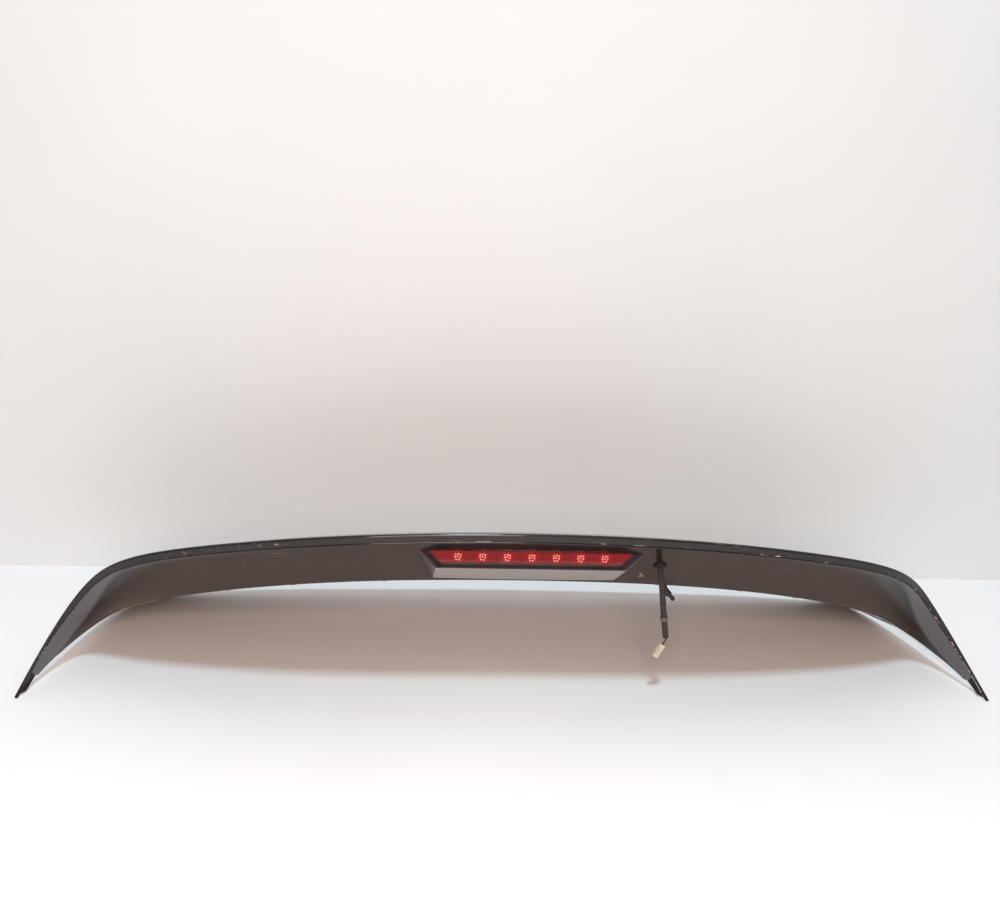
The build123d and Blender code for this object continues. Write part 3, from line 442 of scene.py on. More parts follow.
def panel_profile(f):
    """Rear panel's closed profile: flange behind the lip, rounded shoulder, face as an arc that bulges on
    the ears, rounded lower edge, return flange and the inside one wall away; with the shares of edge wear
    and of the paler band, a painted reflection, at each point."""
    behind = f.lip_in * (f.skin + LIP_GAP)
    flange_top = behind + f.lip_dir * (f.lip - FLANGE_OVERLAP * f.scale)
    flange_end = behind + f.lip_dir * (f.lip + SEAM_GAP * f.scale)
    turn = SHOULDER_LENGTH * f.scale
    turn_start = f.shoulder + f.lip_in * SHOULDER_DEPTH * f.scale
    turn_end = f.shoulder + f.panel_dir * turn
    turn_middle = (turn_start + turn_end) / 4 + f.shoulder / 2
    edge = EDGE_ROUND * f.scale
    edge_start = f.lower - f.panel_dir * edge
    edge_end = f.lower + f.mount_dir * edge
    edge_middle = (edge_start + edge_end) / 4 + f.lower / 2
    face_middle = (turn_end + edge_start) / 2 - f.panel_in * f.bulge
    toe = f.lower + f.mount_dir * RETURN_FLANGE * f.scale
    toe_inner = toe + f.mount_in * f.panel
    inner = meeting(f.lower + f.panel_in * f.panel, f.panel_dir,
                    f.lower + f.mount_in * f.panel, f.mount_dir)
    back = f.lip_in * (f.skin + LIP_GAP + f.panel)
    lip_dir = np.broadcast_to(f.lip_dir, inner.shape)
    upper = meeting(back, lip_dir, inner, f.panel_dir)
    inner_middle = (inner + upper) / 2 - f.panel_in * f.bulge
    back_top = back + f.lip_dir * (f.lip - FLANGE_OVERLAP * f.scale)
    runs = [straight(flange_top, flange_end, 3), straight(flange_end, turn_start, 3),
            arc(turn_start, turn_middle, turn_end, ROUND_POINTS),
            arc(turn_end, face_middle, edge_start, FACE_POINTS),
            arc(edge_start, edge_middle, edge_end, ROUND_POINTS), straight(edge_end, toe, 4),
            straight(toe, toe_inner, 2), straight(toe_inner, inner, 4),
            arc(inner, inner_middle, upper, INNER_POINTS),
            straight(upper, back_top, 3), straight(back_top, flange_top, 2)]
    wear = run_values(runs, {4: np.linspace(0.0, 0.5, ROUND_POINTS - 1), 5: 0.4})
    across = run_values(runs, {2: 0.0, 3: np.linspace(0, 1, FACE_POINTS - 1)}, SHEEN_OUTSIDE)
    return joined_runs(runs), wear, sheen_share(f, across)


def sheen_share(f, across):
    """Share of the painted reflection, a paler ear band, at each point of the panel's profile: full from
    the seam to a line that moves from the seam to the lower edge along the ear, with a soft border, fading
    to the centre."""
    low, high = SHEEN_STATIONS
    border = ear_share(f.stations, low, high - low, SHEEN_REACH)**SHEEN_BEND
    share = np.clip((border[:, None] - across[None, :]) / SHEEN_BORDER + 0.5, 0, 1)
    return share * ear_share(f.stations, SHEEN_FADE_START, SHEEN_FADE_LENGTH)[:, None]


def shell_faces(rows, columns):
    """Quads of a closed profile carried along a path, and its two end caps."""
    i, j = np.meshgrid(np.arange(rows - 1), np.arange(columns), indexing="ij")
    k = (j + 1) % columns
    here, ahead = i * columns, (i + 1) * columns
    quads = np.stack([here + j, ahead + j, ahead + k, here + k], -1)
    first = np.arange(columns)[::-1]
    last = np.arange(columns) + (rows - 1) * columns
    return quads.reshape(-1, 4).tolist() + [first.tolist(), last.tolist()]


def new_piece(name, points, faces, sharp_deg=SHARP_DEG):
    """Mesh object at the origin from points and faces, normals outward, smooth with sharp corners."""
    mesh = bpy.data.meshes.new(name)
    mesh.from_pydata(np.asarray(points, float).reshape(-1, 3).tolist(), [], faces)
    tidy_normals(mesh, sharp_deg)
    obj = bpy.data.objects.new(name, mesh)
    bpy.context.scene.collection.objects.link(obj)
    return obj


def tidy_normals(mesh, sharp_deg):
    """Outward normals on a closed mesh, smooth faces, sharp edges above an angle."""
    work = bmesh.new()
    work.from_mesh(mesh)
    bmesh.ops.recalc_face_normals(work, faces=work.faces)
    work.to_mesh(mesh)
    work.free()
    mesh.polygons.foreach_set("use_smooth", np.ones(len(mesh.polygons), bool))
    mesh.set_sharp_from_angle(angle=math.radians(sharp_deg))
    mesh.update()


def point_values(obj, name, values):
    """Stores one value per point as a named attribute."""
    layer = obj.data.attributes.new(name, "FLOAT", "POINT")
    layer.data.foreach_set("value", np.asarray(values, np.float32).ravel())


def round_edges(obj, width, segments=2, degrees=40.0):
    """Bevel on the piece's sharp edges."""
    bevel = obj.modifiers.new("rounded edges", "BEVEL")
    bevel.width = width
    bevel.segments = segments
    bevel.limit_method = "ANGLE"
    bevel.angle_limit = math.radians(degrees)
    bevel.use_clamp_overlap = True


def finished(obj, material, slot, *nodes):
    """Gives the piece its finish, rides it on the spoiler, and hides the solids it stands for. The slot is
    not used."""
    dress(obj, material)
    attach(obj, BODY)
    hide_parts(*nodes)


def dress(obj, material):
    """Gives the object its finish."""
    obj.data.materials.clear()
    obj.data.materials.append(material)


def station_range(low, high):
    """Evenly spaced stations from low to high."""
    return np.linspace(low, high, round((high - low) * STATIONS_PER_UNIT) + 1)


def lamp_points(sizes):
    """Depth and height of the lamp frame's corners at the centre section, and its side lean:
    the side's x is linear in depth and height through the face's edge and the chin's end."""
    f = section_frames(sizes, [0.0])
    top, bottom = (placed(f, p[:, None])[0, 0, 1:] for p in (f.shoulder, f.lower))
    line = (bottom - top) / np.linalg.norm(bottom - top)
    lamp = SimpleNamespace(line=line, inside=np.array([-line[1], line[0]]))
    lamp.face_top = top + line * LAMP_DROP
    lamp.face_bottom = lamp.face_top - [0, FACE_HEIGHT]
    lamp.chin_end = bottom - line * CHIN_RISE
    lamp.face_y = lamp.face_top[0]
    lamp.lean_z = (FACE_HALF_TOP - FACE_HALF_BOTTOM) / FACE_HEIGHT
    reach = lamp.chin_end - lamp.face_bottom
    lamp.lean_y = (CHIN_HALF - FACE_HALF_BOTTOM - lamp.lean_z * reach[1]) / reach[0]
    lamp.lens_top = lamp.face_top[1] - LENS_BELOW_FACE
    lamp.lens_bottom = lamp.lens_top - sizes.lens_height
    return lamp


def side_x(lamp, point, grow):
    """Half width of the lamp frame at a depth and height."""
    gap = point - lamp.face_bottom
    return FACE_HALF_BOTTOM + lamp.lean_y * gap[0] + lamp.lean_z * gap[1] + grow


def trapezoid(half_bottom, lean, bottom, top, grow):
    """Corners of an outline that widens upwards, grown by a margin: top left, bottom left,
    bottom right, top right, as x and height."""
    side = grow * math.hypot(1, lean)
    low, high = bottom - grow, top + grow
    low_half = half_bottom + lean * (low - bottom) + side
    high_half = half_bottom + lean * (high - bottom) + side
    return [(-high_half, high), (-low_half, low), (low_half, low), (high_half, high)]


def lamp_cutter(lamp):
    """Closed block that the lamp frame fills, grown by the gap left round it in the panel."""
    grow = PANEL_CUT_GAP
    upper = lamp.face_top - lamp.line * grow
    lower = lamp.chin_end + lamp.line * grow
    back = lamp.inside * BEZEL_DEPTH
    front = lamp.face_bottom - grow
    side_view = [upper, front, lower, lower + back, upper + back]
    points = [(s * side_x(lamp, p, grow), *p) for s in (-1, 1) for p in side_view]
    count = len(side_view)
    faces = [list(range(count)), list(range(count, 2 * count))]
    faces += [[k, (k + 1) % count, (k + 1) % count + count, k + count] for k in range(count)]
    return points, faces


def hole_cutter(origin, normal, radius, reach=0.012, sides=40):
    """Closed prism round a hole's axis: a circle carried from before to behind the panel."""
    normal = unit(np.array(normal))
    first = unit(np.cross(normal, [1.0, 0.0, 0.0]))
    second = np.cross(normal, first)
    angle = np.linspace(0, 2 * np.pi, sides, endpoint=False)[:, None]
    ring = np.array(origin) + radius * (np.cos(angle) * first + np.sin(angle) * second)
    points = np.stack([ring - normal * reach, ring + normal * reach])
    return points.reshape(-1, 3), shell_faces(2, sides)


def cut_out(obj, cutters):
    """Cuts closed shapes out of the piece and keeps the result as its mesh."""
    for points, faces in cutters:
        cutter = new_piece("cutter", points, faces)
        cut = obj.modifiers.new("cut", "BOOLEAN")
        cut.object = cutter
        cut.operation = "DIFFERENCE"
        cut.solver = "EXACT"
        bpy.context.view_layer.update()
        depsgraph = bpy.context.evaluated_depsgraph_get()
        mesh = bpy.data.meshes.new_from_object(obj.evaluated_get(depsgraph))
        obj.modifiers.remove(cut)
        obj.data = mesh
        bpy.data.objects.remove(cutter)
    obj.data.set_sharp_from_angle(angle=math.radians(SHARP_DEG))


def frame_shape(sizes, lamp):
    """Lamp frame from eight loops of corners (top left, bottom left, bottom right, top right):
    block behind the panel, chin end, face, lamp opening, surround, and the pocket behind it."""
    back = lamp.inside * BEZEL_DEPTH

    def loop(top, bottom, grow=0.0):
        corners = ((-1, top), (-1, bottom), (1, bottom), (1, top))
        return [(side * side_x(lamp, p, grow), *p) for side, p in corners]

    def flat_loop(corners, behind):
        return [(x, lamp.face_y + behind, z) for x, z in corners]

    opening_low = lamp.face_bottom[1] + OPENING_BOTTOM
    opening = trapezoid(FACE_HALF_BOTTOM + lamp.lean_z * OPENING_BOTTOM - OPENING_SIDE, lamp.lean_z,
                        opening_low, lamp.face_top[1] - OPENING_TOP, 0)
    lens_lean = (LENS_HALF_TOP - LENS_HALF_BOTTOM) / sizes.lens_height
    surround_low = lamp.face_bottom[1] + SURROUND_BOTTOM
    surround_half = LENS_HALF_BOTTOM + lens_lean * (surround_low - lamp.lens_bottom) + SURROUND_MARGIN
    surround = trapezoid(surround_half, lens_lean, surround_low, lamp.lens_top + SURROUND_MARGIN,
                         SURROUND_GAP)
    chin_dir = unit(lamp.chin_end - lamp.face_bottom)
    chin_wall = lamp.face_bottom + np.array([-chin_dir[1], chin_dir[0]]) * BEZEL_WALL
    top_wall = lamp.face_top + lamp.line * BEZEL_WALL
    end_wall = lamp.chin_end - lamp.line * BEZEL_WALL
    pocket_y = lamp.face_y + FACE_WALL

    def at_depth(point, direction):
        return point + direction * (pocket_y - point[0]) / direction[0]

    corner = meeting(chin_wall[None], chin_dir[None], end_wall[None], lamp.inside[None])[0]
    loops = [
        loop(lamp.face_top + back, lamp.chin_end + back),
        loop(lamp.face_top, lamp.chin_end),
        loop(lamp.face_top, lamp.face_bottom),
        flat_loop(opening, 0),
        flat_loop(surround, FACE_WALL),
        loop(at_depth(top_wall, lamp.inside), at_depth(chin_wall, chin_dir), -BEZEL_WALL),
        loop(top_wall + back, corner, -BEZEL_WALL),
        loop(top_wall + back, end_wall + back, -BEZEL_WALL),
    ]
    points = np.array(loops).reshape(-1, 3)

    def ring(a, b):
        return [[4 * a + k, 4 * a + (k + 1) % 4, 4 * b + (k + 1) % 4, 4 * b + k] for k in range(4)]

    faces = [[0, 3, 11, 8], [0, 8, 9, 5, 1], [3, 2, 6, 10, 11], [5, 6, 2, 1], [9, 10, 6, 5]]
    faces += ring(2, 3) + ring(3, 4) + ring(4, 5)
    faces += [[20, 23, 31, 28], [20, 21, 25, 29, 28], [23, 31, 30, 26, 22], [21, 22, 26, 25],
              [25, 26, 30, 29]]
    faces += ring(0, 7)
    used = np.unique(np.concatenate([np.array(f) for f in faces]))
    renumber = np.zeros(len(points), int)
    renumber[used] = np.arange(len(used))
    return points[used], [renumber[f].tolist() for f in faces]


def diode_places(sizes):
    """Distances of the diodes from the centre."""
    return (np.arange(sizes.led_count) - (sizes.led_count - 1) / 2) * LED_PITCH


def lens_shape(sizes, lamp, columns=560, rows=40):
    """Lens: a trapezoid sheet, its border turned back on a quarter circle, with a raised facet on each
    spot over a diode as a squared cap, and flat sides and back. Returns the facet share, where glints are
    painted, and a share of painted glow round each diode that falls off with the squared distance too."""
    u = np.linspace(-1, 1, columns)[None, :]
    v = np.linspace(0, 1, rows)[:, None]
    half = LENS_HALF_BOTTOM + (LENS_HALF_TOP - LENS_HALF_BOTTOM) * v
    x = u * half
    z = lamp.lens_bottom + sizes.lens_height * v + 0 * u
    inset = np.minimum((1 - np.abs(u)) * half, np.minimum(v, 1 - v) * sizes.lens_height)
    inset = LENS_ROUND - np.minimum(inset, LENS_ROUND)
    turn_back = LENS_ROUND - np.sqrt(LENS_ROUND**2 - inset**2)
    middle = (lamp.lens_top + lamp.lens_bottom) / 2
    cap = np.zeros_like(x)
    for diode in diode_places(sizes):
        for spot_x, spot_z in FACET_SPOTS:
            away = ((x - diode - spot_x)**2 + (z - middle - spot_z)**2) / FACET_RADIUS**2
            cap += np.clip(1 - away, 0, 1)**2
    y = lamp.face_y + LENS_FRONT + turn_back - FACET_RISE * cap
    front = np.stack([x, y, z], -1).reshape(-1, 3)
    index = np.arange(rows * columns).reshape(rows, columns)
    border = np.concatenate([index[0], index[1:, -1], index[-1, -2::-1], index[-2:0:-1, 0]])
    back = front[border]
    back[:, 1] = lamp.face_y + LENS_BACK
    start = rows * columns
    count = len(border)
    ring = np.arange(count)
    after = (ring + 1) % count
    quads = np.stack([index[:-1, :-1], index[:-1, 1:], index[1:, 1:], index[1:, :-1]], -1).reshape(-1, 4)
    sides = np.stack([border[ring], border[after], start + after, start + ring], -1)
    faces = quads.tolist() + sides.tolist() + [(start + ring).tolist()]
    share = np.concatenate([np.clip(cap, 0, 1).ravel(), np.zeros(count)])
    beside = np.abs(x[..., None] - diode_places(sizes)).min(-1)
    painted_halo = np.exp(-(beside**2 + (z - middle)**2) / HALO_RADIUS**2)
    painted_halo = np.concatenate([painted_halo.ravel(), np.zeros(count)])
    return np.concatenate([front, back]), faces, share, painted_halo


def spline_points(route, resolution=16):
    """Points along the smooth spline whose control points are the lead's route."""
    curve = bpy.data.curves.new("lead route", "CURVE")
    curve.dimensions = "3D"
    curve.resolution_u = resolution
    spline = curve.splines.new("NURBS")
    spline.points.add(len(route) - 1)
    spline.points.foreach_set("co", np.c_[np.array(route), np.ones(len(route))].ravel())
    spline.order_u = 3
    spline.use_endpoint_u = True
    obj = bpy.data.objects.new("lead route", curve)
    mesh = bpy.data.meshes.new_from_object(obj)
    points = np.zeros(len(mesh.vertices) * 3)
    mesh.vertices.foreach_get("co", points)
    bpy.data.meshes.remove(mesh)
    bpy.data.objects.remove(obj)
    bpy.data.curves.remove(curve)
    return points.reshape(-1, 3)


def along_path(points, count):
    """Points at equal distances along a line of points, with the distances."""
    steps = np.linalg.norm(np.diff(points, axis=0), axis=1)
    way = np.concatenate([[0], np.cumsum(steps)])
    at = np.linspace(0, way[-1], count)
    return np.stack([np.interp(at, way, points[:, k]) for k in range(3)], 1), at


def tube_shape(path, way, radius, sides):
    """Tube round a path: a circle whose radius changes with distance and angle, held square to the
    path by the cross product with the x axis."""
    tangent = unit(np.gradient(path, axis=0))
    first = unit(np.cross(tangent, [1.0, 0.0, 0.0]))
    second = np.cross(tangent, first)
    angle = np.linspace(0, 2 * np.pi, sides, endpoint=False)
    size = radius(way[:, None], angle[None, :])[..., None]
    cosine, sine = (wave(angle)[None, :, None] for wave in (np.cos, np.sin))
    ring = cosine * first[:, None] + sine * second[:, None]
    return path[:, None] + size * ring


def wound_radius(sizes):
    """Radius of a tape-wound loom: each turn starts proud and thins towards the next one."""
    def radius(way, angle):
        turn = (way / sizes.tape_pitch - angle / (2 * np.pi)) % 1.0
        ridge = np.clip((1 - turn) * 1.2 - 0.2, 0, 1) * np.clip(turn / 0.06, 0, 1)
        lumps = np.sin(3 * angle + 240 * way) * np.sin(170 * way + 1.0)
        return sizes.loom_radius * (0.955 + 0.04 * ridge + 0.006 * lumps)
    return radius


def wrap_map(obj, u, v):
    """A map from values per point, carried to the face corners."""
    layer = obj.data.uv_layers.new(name="wrap")
    corner = np.zeros(len(obj.data.loops), np.int32)
    obj.data.loops.foreach_get("vertex_index", corner)
    flat = np.stack([u.ravel(), v.ravel()], -1)[corner]
    layer.data.foreach_set("uv", flat.astype(np.float32).ravel())


def ragged(x, seed):
    """Uneven edge from five sines of unrelated pitch, between minus one and one."""
    waves = np.array([37.0, 83.0, 151.0, 287.0, 463.0])
    phase = seed + np.arange(5) * 1.7
    size = np.array([0.30, 0.26, 0.20, 0.14, 0.10])
    return (np.sin(np.asarray(x)[..., None] * waves + phase) * size).sum(-1)


def residue_shape(sizes, side):
    """Torn tape under an ear: a flat strip along the lower flange whose far edge is ragged and whose
    thickness swells and thins along it."""
    stations = np.linspace(TAPE_REACH[0], TAPE_REACH[1], 240) * side
    f = section_frames(sizes, stations)
    way = np.linalg.norm(f.origin - f.origin[:1], axis=1)
    near = EDGE_ROUND * (1 + 0.25 * ragged(way, 2.0 * side))[:, None]
    far = EDGE_ROUND + sizes.tape_width * f.scale * (0.80 + 0.20 * ragged(way, 5.0 + side))[:, None]
    gap = RESIDUE_GAP
    thick = sizes.tape_thickness * (0.72 + 0.28 * ragged(way, 9.0 + side))[:, None]
    corners = [(near, gap), (far, gap), (far, gap + thick * 0.6), ((near + far) / 2, gap + thick),
               (near, gap + thick * 0.7)]
    profile = np.stack([f.lower + f.mount_dir * a - f.mount_in * b for a, b in corners], 1)
    points = placed(f, profile)
    return points.reshape(-1, 3), shell_faces(*points.shape[:2])


# Finishes


class Nodes:
    """Adds linked nodes to a material's or a group's tree."""

    def __init__(self, tree):
        self.tree = tree

    def add(self, kind, inputs=None, **settings):
        """A node with settings, whose inputs are values or other nodes' outputs."""
        node = self.tree.nodes.new(kind)
        for name, value in settings.items():
            setattr(node, name, value)
        for name, value in (inputs or {}).items():
            self.feed(node.inputs[name], value)
        return node

    def feed(self, socket, value):
        """Links an output to the socket, or sets its value."""
        if isinstance(value, bpy.types.NodeSocket):
            self.tree.links.new(value, socket)
        elif socket.type == "RGBA" and len(value) == 3:
            socket.default_value = (*value, 1.0)
        else:
            socket.default_value = value

    def math(self, operation, a, b=0.0):
        """Output of a math node."""
        return self.add("ShaderNodeMath", {0: a, 1: b}, operation=operation).outputs[0]

    def times(self, a, b):
        """Product of two values."""
        return self.math("MULTIPLY", a, b)

    def mix(self, share, a, b):
        """Output of a colour mix."""
        return self.add("ShaderNodeMix", {0: share, 6: a, 7: b}, data_type="RGBA").outputs[2]

    def step(self, value, low, high, out_low=0.0, out_high=1.0):
        """Output of a clamped range map."""
        given = {"Value": value, "From Min": low, "From Max": high, "To Min": out_low, "To Max": out_high}
        return self.add("ShaderNodeMapRange", given).outputs[0]

    @cached_property
    def place(self):
        """Object coordinates."""
        return self.add("ShaderNodeTexCoord").outputs["Object"]

    def attribute(self, name):
        """Value of a named attribute of the piece."""
        return self.add("ShaderNodeAttribute", attribute_name=name).outputs["Fac"]

    def stretched(self, scale):
        """Object coordinates scaled per axis."""
        return self.add("ShaderNodeMapping", {"Vector": self.place, "Scale": scale}).outputs[0]

    def noise(self, scale, detail, vector=None):
        """Value of a noise, over object coordinates unless others are given."""
        given = {"Vector": vector or self.place, "Scale": scale, "Detail": detail}
        return self.add("ShaderNodeTexNoise", given).outputs[0]

    def patches(self, scale, detail, low, high):
        """Noise as a share: none below a low value, full above a high one."""
        return self.step(self.noise(scale, detail), low, high)

    def bump(self, height, strength, distance):
        """Normal of a bump."""
        given = {"Height": height, "Strength": strength, "Distance": distance}
        return self.add("ShaderNodeBump", given).outputs[0]


def new_group(name, inputs, outputs):
    """A shader node group with float inputs and outputs."""
    group = bpy.data.node_groups.new(name, "ShaderNodeTree")
    for label, default in inputs:
        socket = group.interface.new_socket(label, in_out="INPUT", socket_type="NodeSocketFloat")
        socket.default_value = default
    for label in outputs:
        group.interface.new_socket(label, in_out="OUTPUT", socket_type="NodeSocketFloat")
    kit = Nodes(group)
    start = kit.add("NodeGroupInput")
    end = kit.add("NodeGroupOutput")
    return group, kit, start.outputs, end.inputs


def specks_group():
    """Sparse round specks: cells whose random value is above Rarity, nearer than Size to their seed."""
    inputs = [("Scale", 160.0), ("Rarity", 0.9), ("Size", 0.1)]
    group, kit, given, out = new_group("dust specks", inputs, ["Mask"])
    cells = kit.add("ShaderNodeTexVoronoi", {"Vector": kit.place, "Scale": given["Scale"]})
    chance = kit.add("ShaderNodeSeparateColor", {0: cells.outputs["Color"]}).outputs[0]
    near = kit.math("LESS_THAN", cells.outputs["Distance"], given["Size"])
    kit.feed(out["Mask"], kit.times(near, kit.math("GREATER_THAN", chance, given["Rarity"])))
    return group


def streaks_group():
    """Fine scratches along the span: noise drawn out along x, kept above Threshold in patches."""
    inputs = [("Threshold", 0.66), ("Fineness", 620.0)]
    group, kit, given, out = new_group("fine scratches", inputs, ["Mask"])
    lines = kit.noise(given["Fineness"], 1.0, kit.stretched((0.018, 1.0, 1.0)))
    patches = kit.patches(scale=14.0, detail=2.0, low=0.5, high=0.66)
    kit.feed(out["Mask"], kit.times(kit.math("GREATER_THAN", lines, given["Threshold"]), patches))
    return group


def wear_and_glint_group():
    """Rubbed edges, partly painted glints: the piece's own edge share, broken up by two noises. Where the
    share is full, the noises show above a lower limit."""
    group, kit, given, out = new_group("rubbed edges", [("Edge", 0.0), ("Amount", 0.5)], ["Mask"])
    long_lines = kit.stretched((0.16, 1.0, 1.0))
    broken = kit.times(kit.noise(260.0, 3.0, long_lines), kit.noise(scale=17.0, detail=2.0))
    reach = kit.times(given["Edge"], given["Amount"])
    limit = kit.math("SUBTRACT", 0.46, kit.times(reach, 0.22))
    shown = kit.step(kit.math("SUBTRACT", broken, limit), low=0.0, high=0.02)
    kit.feed(out["Mask"], kit.times(shown, kit.math("GREATER_THAN", given["Edge"], 0.05)))
    return group


def grain_group():
    """Moulded grain: a fine noise over a coarser one."""
    group, kit, given, out = new_group("moulded grain", [("Scale", 900.0)], ["Height"])
    fine = kit.noise(given["Scale"], detail=2.0)
    coarse = kit.noise(kit.times(given["Scale"], 0.25), detail=2.0)
    kit.feed(out["Height"], kit.math("ADD", fine, kit.times(coarse, 0.6)))
    return group


def shared_group(name):
    """A shared effect, built the first time it is asked for."""
    makers = {"dust specks": specks_group, "fine scratches": streaks_group, "rubbed edges": wear_and_glint_group,
              "moulded grain": grain_group}
    return bpy.data.node_groups.get(name) or makers[name]()


def new_finish(name, **constants):
    """An empty finish: its node kit and its shader, with constant values on the shader's sockets."""
    material = bpy.data.materials.new(name)
    material.use_nodes = True
    material.node_tree.nodes.clear()
    kit = Nodes(material.node_tree)
    shader = kit.add("ShaderNodeBsdfPrincipled")
    kit.add("ShaderNodeOutputMaterial", {"Surface": shader.outputs[0]})
    for label, value in constants.items():
        kit.feed(shader.inputs[label.replace("_", " ")], value)
    return material, kit, shader.inputs


def effect(kit, name, **inputs):
    """A placed shared effect."""
    node = kit.add("ShaderNodeGroup", node_tree=shared_group(name))
    for label, value in inputs.items():
        kit.feed(node.inputs[label], value)
    return node.outputs[0]


def paint_finish(name, colour, pale, colours, wear, scratch, speck=0.9, roughness=0.3):
    """Clear-coated paint with dust, fine scratches, rubbed edges that are partly painted glints, orange
    peel, and a paler colour where the piece's pale share is set, a painted reflection.
    """
    material, kit, shader = new_finish(name, Coat_Weight=0.75, Coat_Roughness=0.06, IOR=1.45,
                                       Specular_IOR_Level=0.12)
    tone = kit.patches(scale=9.0, detail=3.0, low=0.35, high=0.7)
    base = kit.mix(tone, colour, [c * 1.35 for c in colour])
    # Painted reflection: a paler colour where the piece's pale share is set
    base = kit.mix(kit.attribute("pale"), base, pale)
    dust = effect(kit, "dust specks", Scale=150.0, Rarity=speck, Size=0.09)
    film = kit.times(kit.patches(scale=26.0, detail=5.0, low=0.45, high=0.8), 0.012)
    lines = kit.times(effect(kit, "fine scratches", Threshold=0.69), scratch)
    marks = kit.math("MAXIMUM", kit.times(dust, 0.65), kit.math("MAXIMUM", film, lines))
    base = kit.mix(marks, base, colours.dust)
    # Rubbed paint, partly painted glints along the lip and ear edges
    rubbed = effect(kit, "rubbed edges", Edge=kit.attribute("edge"), Amount=wear)
    kit.feed(shader["Base Color"], kit.mix(rubbed, base, colours.bare_edge_and_glint))
    rough = kit.math("ADD", roughness, kit.times(marks, 0.35))
    kit.feed(shader["Roughness"], kit.math("ADD", rough, kit.times(rubbed, 0.3)))
    peel = kit.noise(scale=420.0, detail=2.0)
    kit.feed(shader["Normal"], kit.bump(peel, strength=0.05, distance=0.0004))
    return material


def lens_finish(colours):
    """Red lens: a paler foot that is a painted reflection, faint upright flutes, and painted glints on the
    facets with a painted red glow round the diodes, both emitted by the lens itself.
    """
    # The lens emits its painted glints and painted glow itself
    material, kit, shader = new_finish("stop lamp red", Roughness=0.3, Specular_IOR_Level=0.22,
                                       Emission_Strength=0.5)
    lo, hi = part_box("lamp_lens")
    axes = kit.add("ShaderNodeSeparateXYZ", {0: kit.place}).outputs
    # Painted reflection on the lens's foot
    foot = kit.step(axes[2], *(lo.z + height for height in LENS_FOOT_REFLECTION))
    flutes = kit.math("SINE", kit.times(axes[0], 2 * math.pi / FLUTE_PITCH))
    ripple = kit.step(flutes, -1.0, 1.0, out_low=0.86, out_high=1.1)
    red = kit.mix(foot, colours.lens_foot_reflection, colours.lens)
    shade = kit.add("ShaderNodeVectorMath", {0: red}, operation="SCALE")
    kit.feed(shade.inputs["Scale"], ripple)
    patches = kit.patches(scale=120.0, detail=2.0, low=0.4, high=0.75)
    patchy = kit.mix(patches, shade.outputs[0], colours.lens)
    # Painted glints on the facets and painted glow round the diodes
    painted_glint = kit.step(kit.attribute("facet"), low=0.25, high=1.0)
    painted_glow = kit.mix(kit.times(kit.attribute("painted_halo"), 0.75), (0.05, 0.001, 0.002), colours.painted_halo)
    kit.feed(shader["Base Color"], kit.mix(painted_glint, patchy, colours.diode))
    kit.feed(shader["Emission Color"], kit.mix(painted_glint, painted_glow, colours.diode))
    return material


def plain_finish(name, colour, roughness, grain, depth, variation, metallic):
    """Moulded or metal finish: grain, a little colour variation and uneven gloss."""
    material, kit, shader = new_finish(name, Metallic=metallic)
    tone = kit.patches(scale=60.0, detail=4.0, low=0.3, high=0.75)
    darker = [c * (1 - variation) for c in colour]
    lighter = [min(1.0, c * (1 + variation)) for c in colour]
    gloss = kit.step(tone, 0.0, 1.0, out_low=roughness - 0.06, out_high=roughness + 0.08)
    kit.feed(shader["Base Color"], kit.mix(tone, darker, lighter))
    kit.feed(shader["Roughness"], gloss)
    kit.feed(shader["Normal"], kit.bump(effect(kit, "moulded grain", Scale=grain), 0.35, depth))
    return material


def tape_finish(colours):
    """Residue of the mounting tape: beige and stained on the left, cleaner and paler on the right."""
    material, kit, shader = new_finish("tape residue", Roughness=0.8)
    x = kit.add("ShaderNodeSeparateXYZ", {0: kit.place}).outputs[0]
    right = kit.math("GREATER_THAN", x, 0.0)
    pale = kit.mix(right, colours.residue, (0.74, 0.71, 0.68))
    dark = kit.mix(right, (0.20, 0.13, 0.08), (0.40, 0.37, 0.35))
    stain = kit.patches(scale=90.0, detail=5.0, low=0.45, high=0.7)
    grain = effect(kit, "moulded grain", Scale=500.0)
    kit.feed(shader["Base Color"], kit.mix(stain, pale, dark))
    kit.feed(shader["Normal"], kit.bump(grain, strength=0.8, distance=0.0005))
    return material


def loom_finish(colours):
    """Cloth tape: weave across the piece's own map, frayed lighter along each turn's edge."""
    material, kit, shader = new_finish("loom tape", Roughness=0.72)
    wrap = kit.add("ShaderNodeUVMap", uv_map="wrap").outputs[0]
    warp, weft = (kit.add("ShaderNodeTexWave", {"Vector": wrap, "Scale": scale, "Distortion": 0.6},
                          bands_direction=way).outputs["Fac"] for way, scale in (("X", 46.0), ("Y", 14.0)))
    weave = kit.times(warp, weft)
    pale = kit.times(kit.step(kit.attribute("edge"), low=0.75, high=1.0), 0.06)
    share = kit.math("ADD", pale, kit.times(weave, 0.05))
    kit.feed(shader["Base Color"], kit.mix(share, colours.loom, (0.34, 0.33, 0.34)))
    kit.feed(shader["Normal"], kit.bump(weave, strength=0.5, distance=0.0002))
    return material


def connector_finish(colours):
    """Off-white moulded plastic, yellowed in patches and with dark dust specks."""
    material, kit, shader = new_finish("connector plastic", Roughness=0.42, Subsurface_Weight=0.08)
    old = kit.patches(scale=130.0, detail=4.0, low=0.4, high=0.75)
    base = kit.mix(old, colours.connector, (0.47, 0.37, 0.25))
    dust = effect(kit, "dust specks", Scale=900.0, Rarity=0.8, Size=0.2)
    grain = effect(kit, "moulded grain", Scale=1500.0)
    kit.feed(shader["Base Color"], kit.mix(kit.times(dust, 0.6), base, (0.12, 0.10, 0.08)))
    kit.feed(shader["Normal"], kit.bump(grain, strength=0.3, distance=0.0001))
    return material


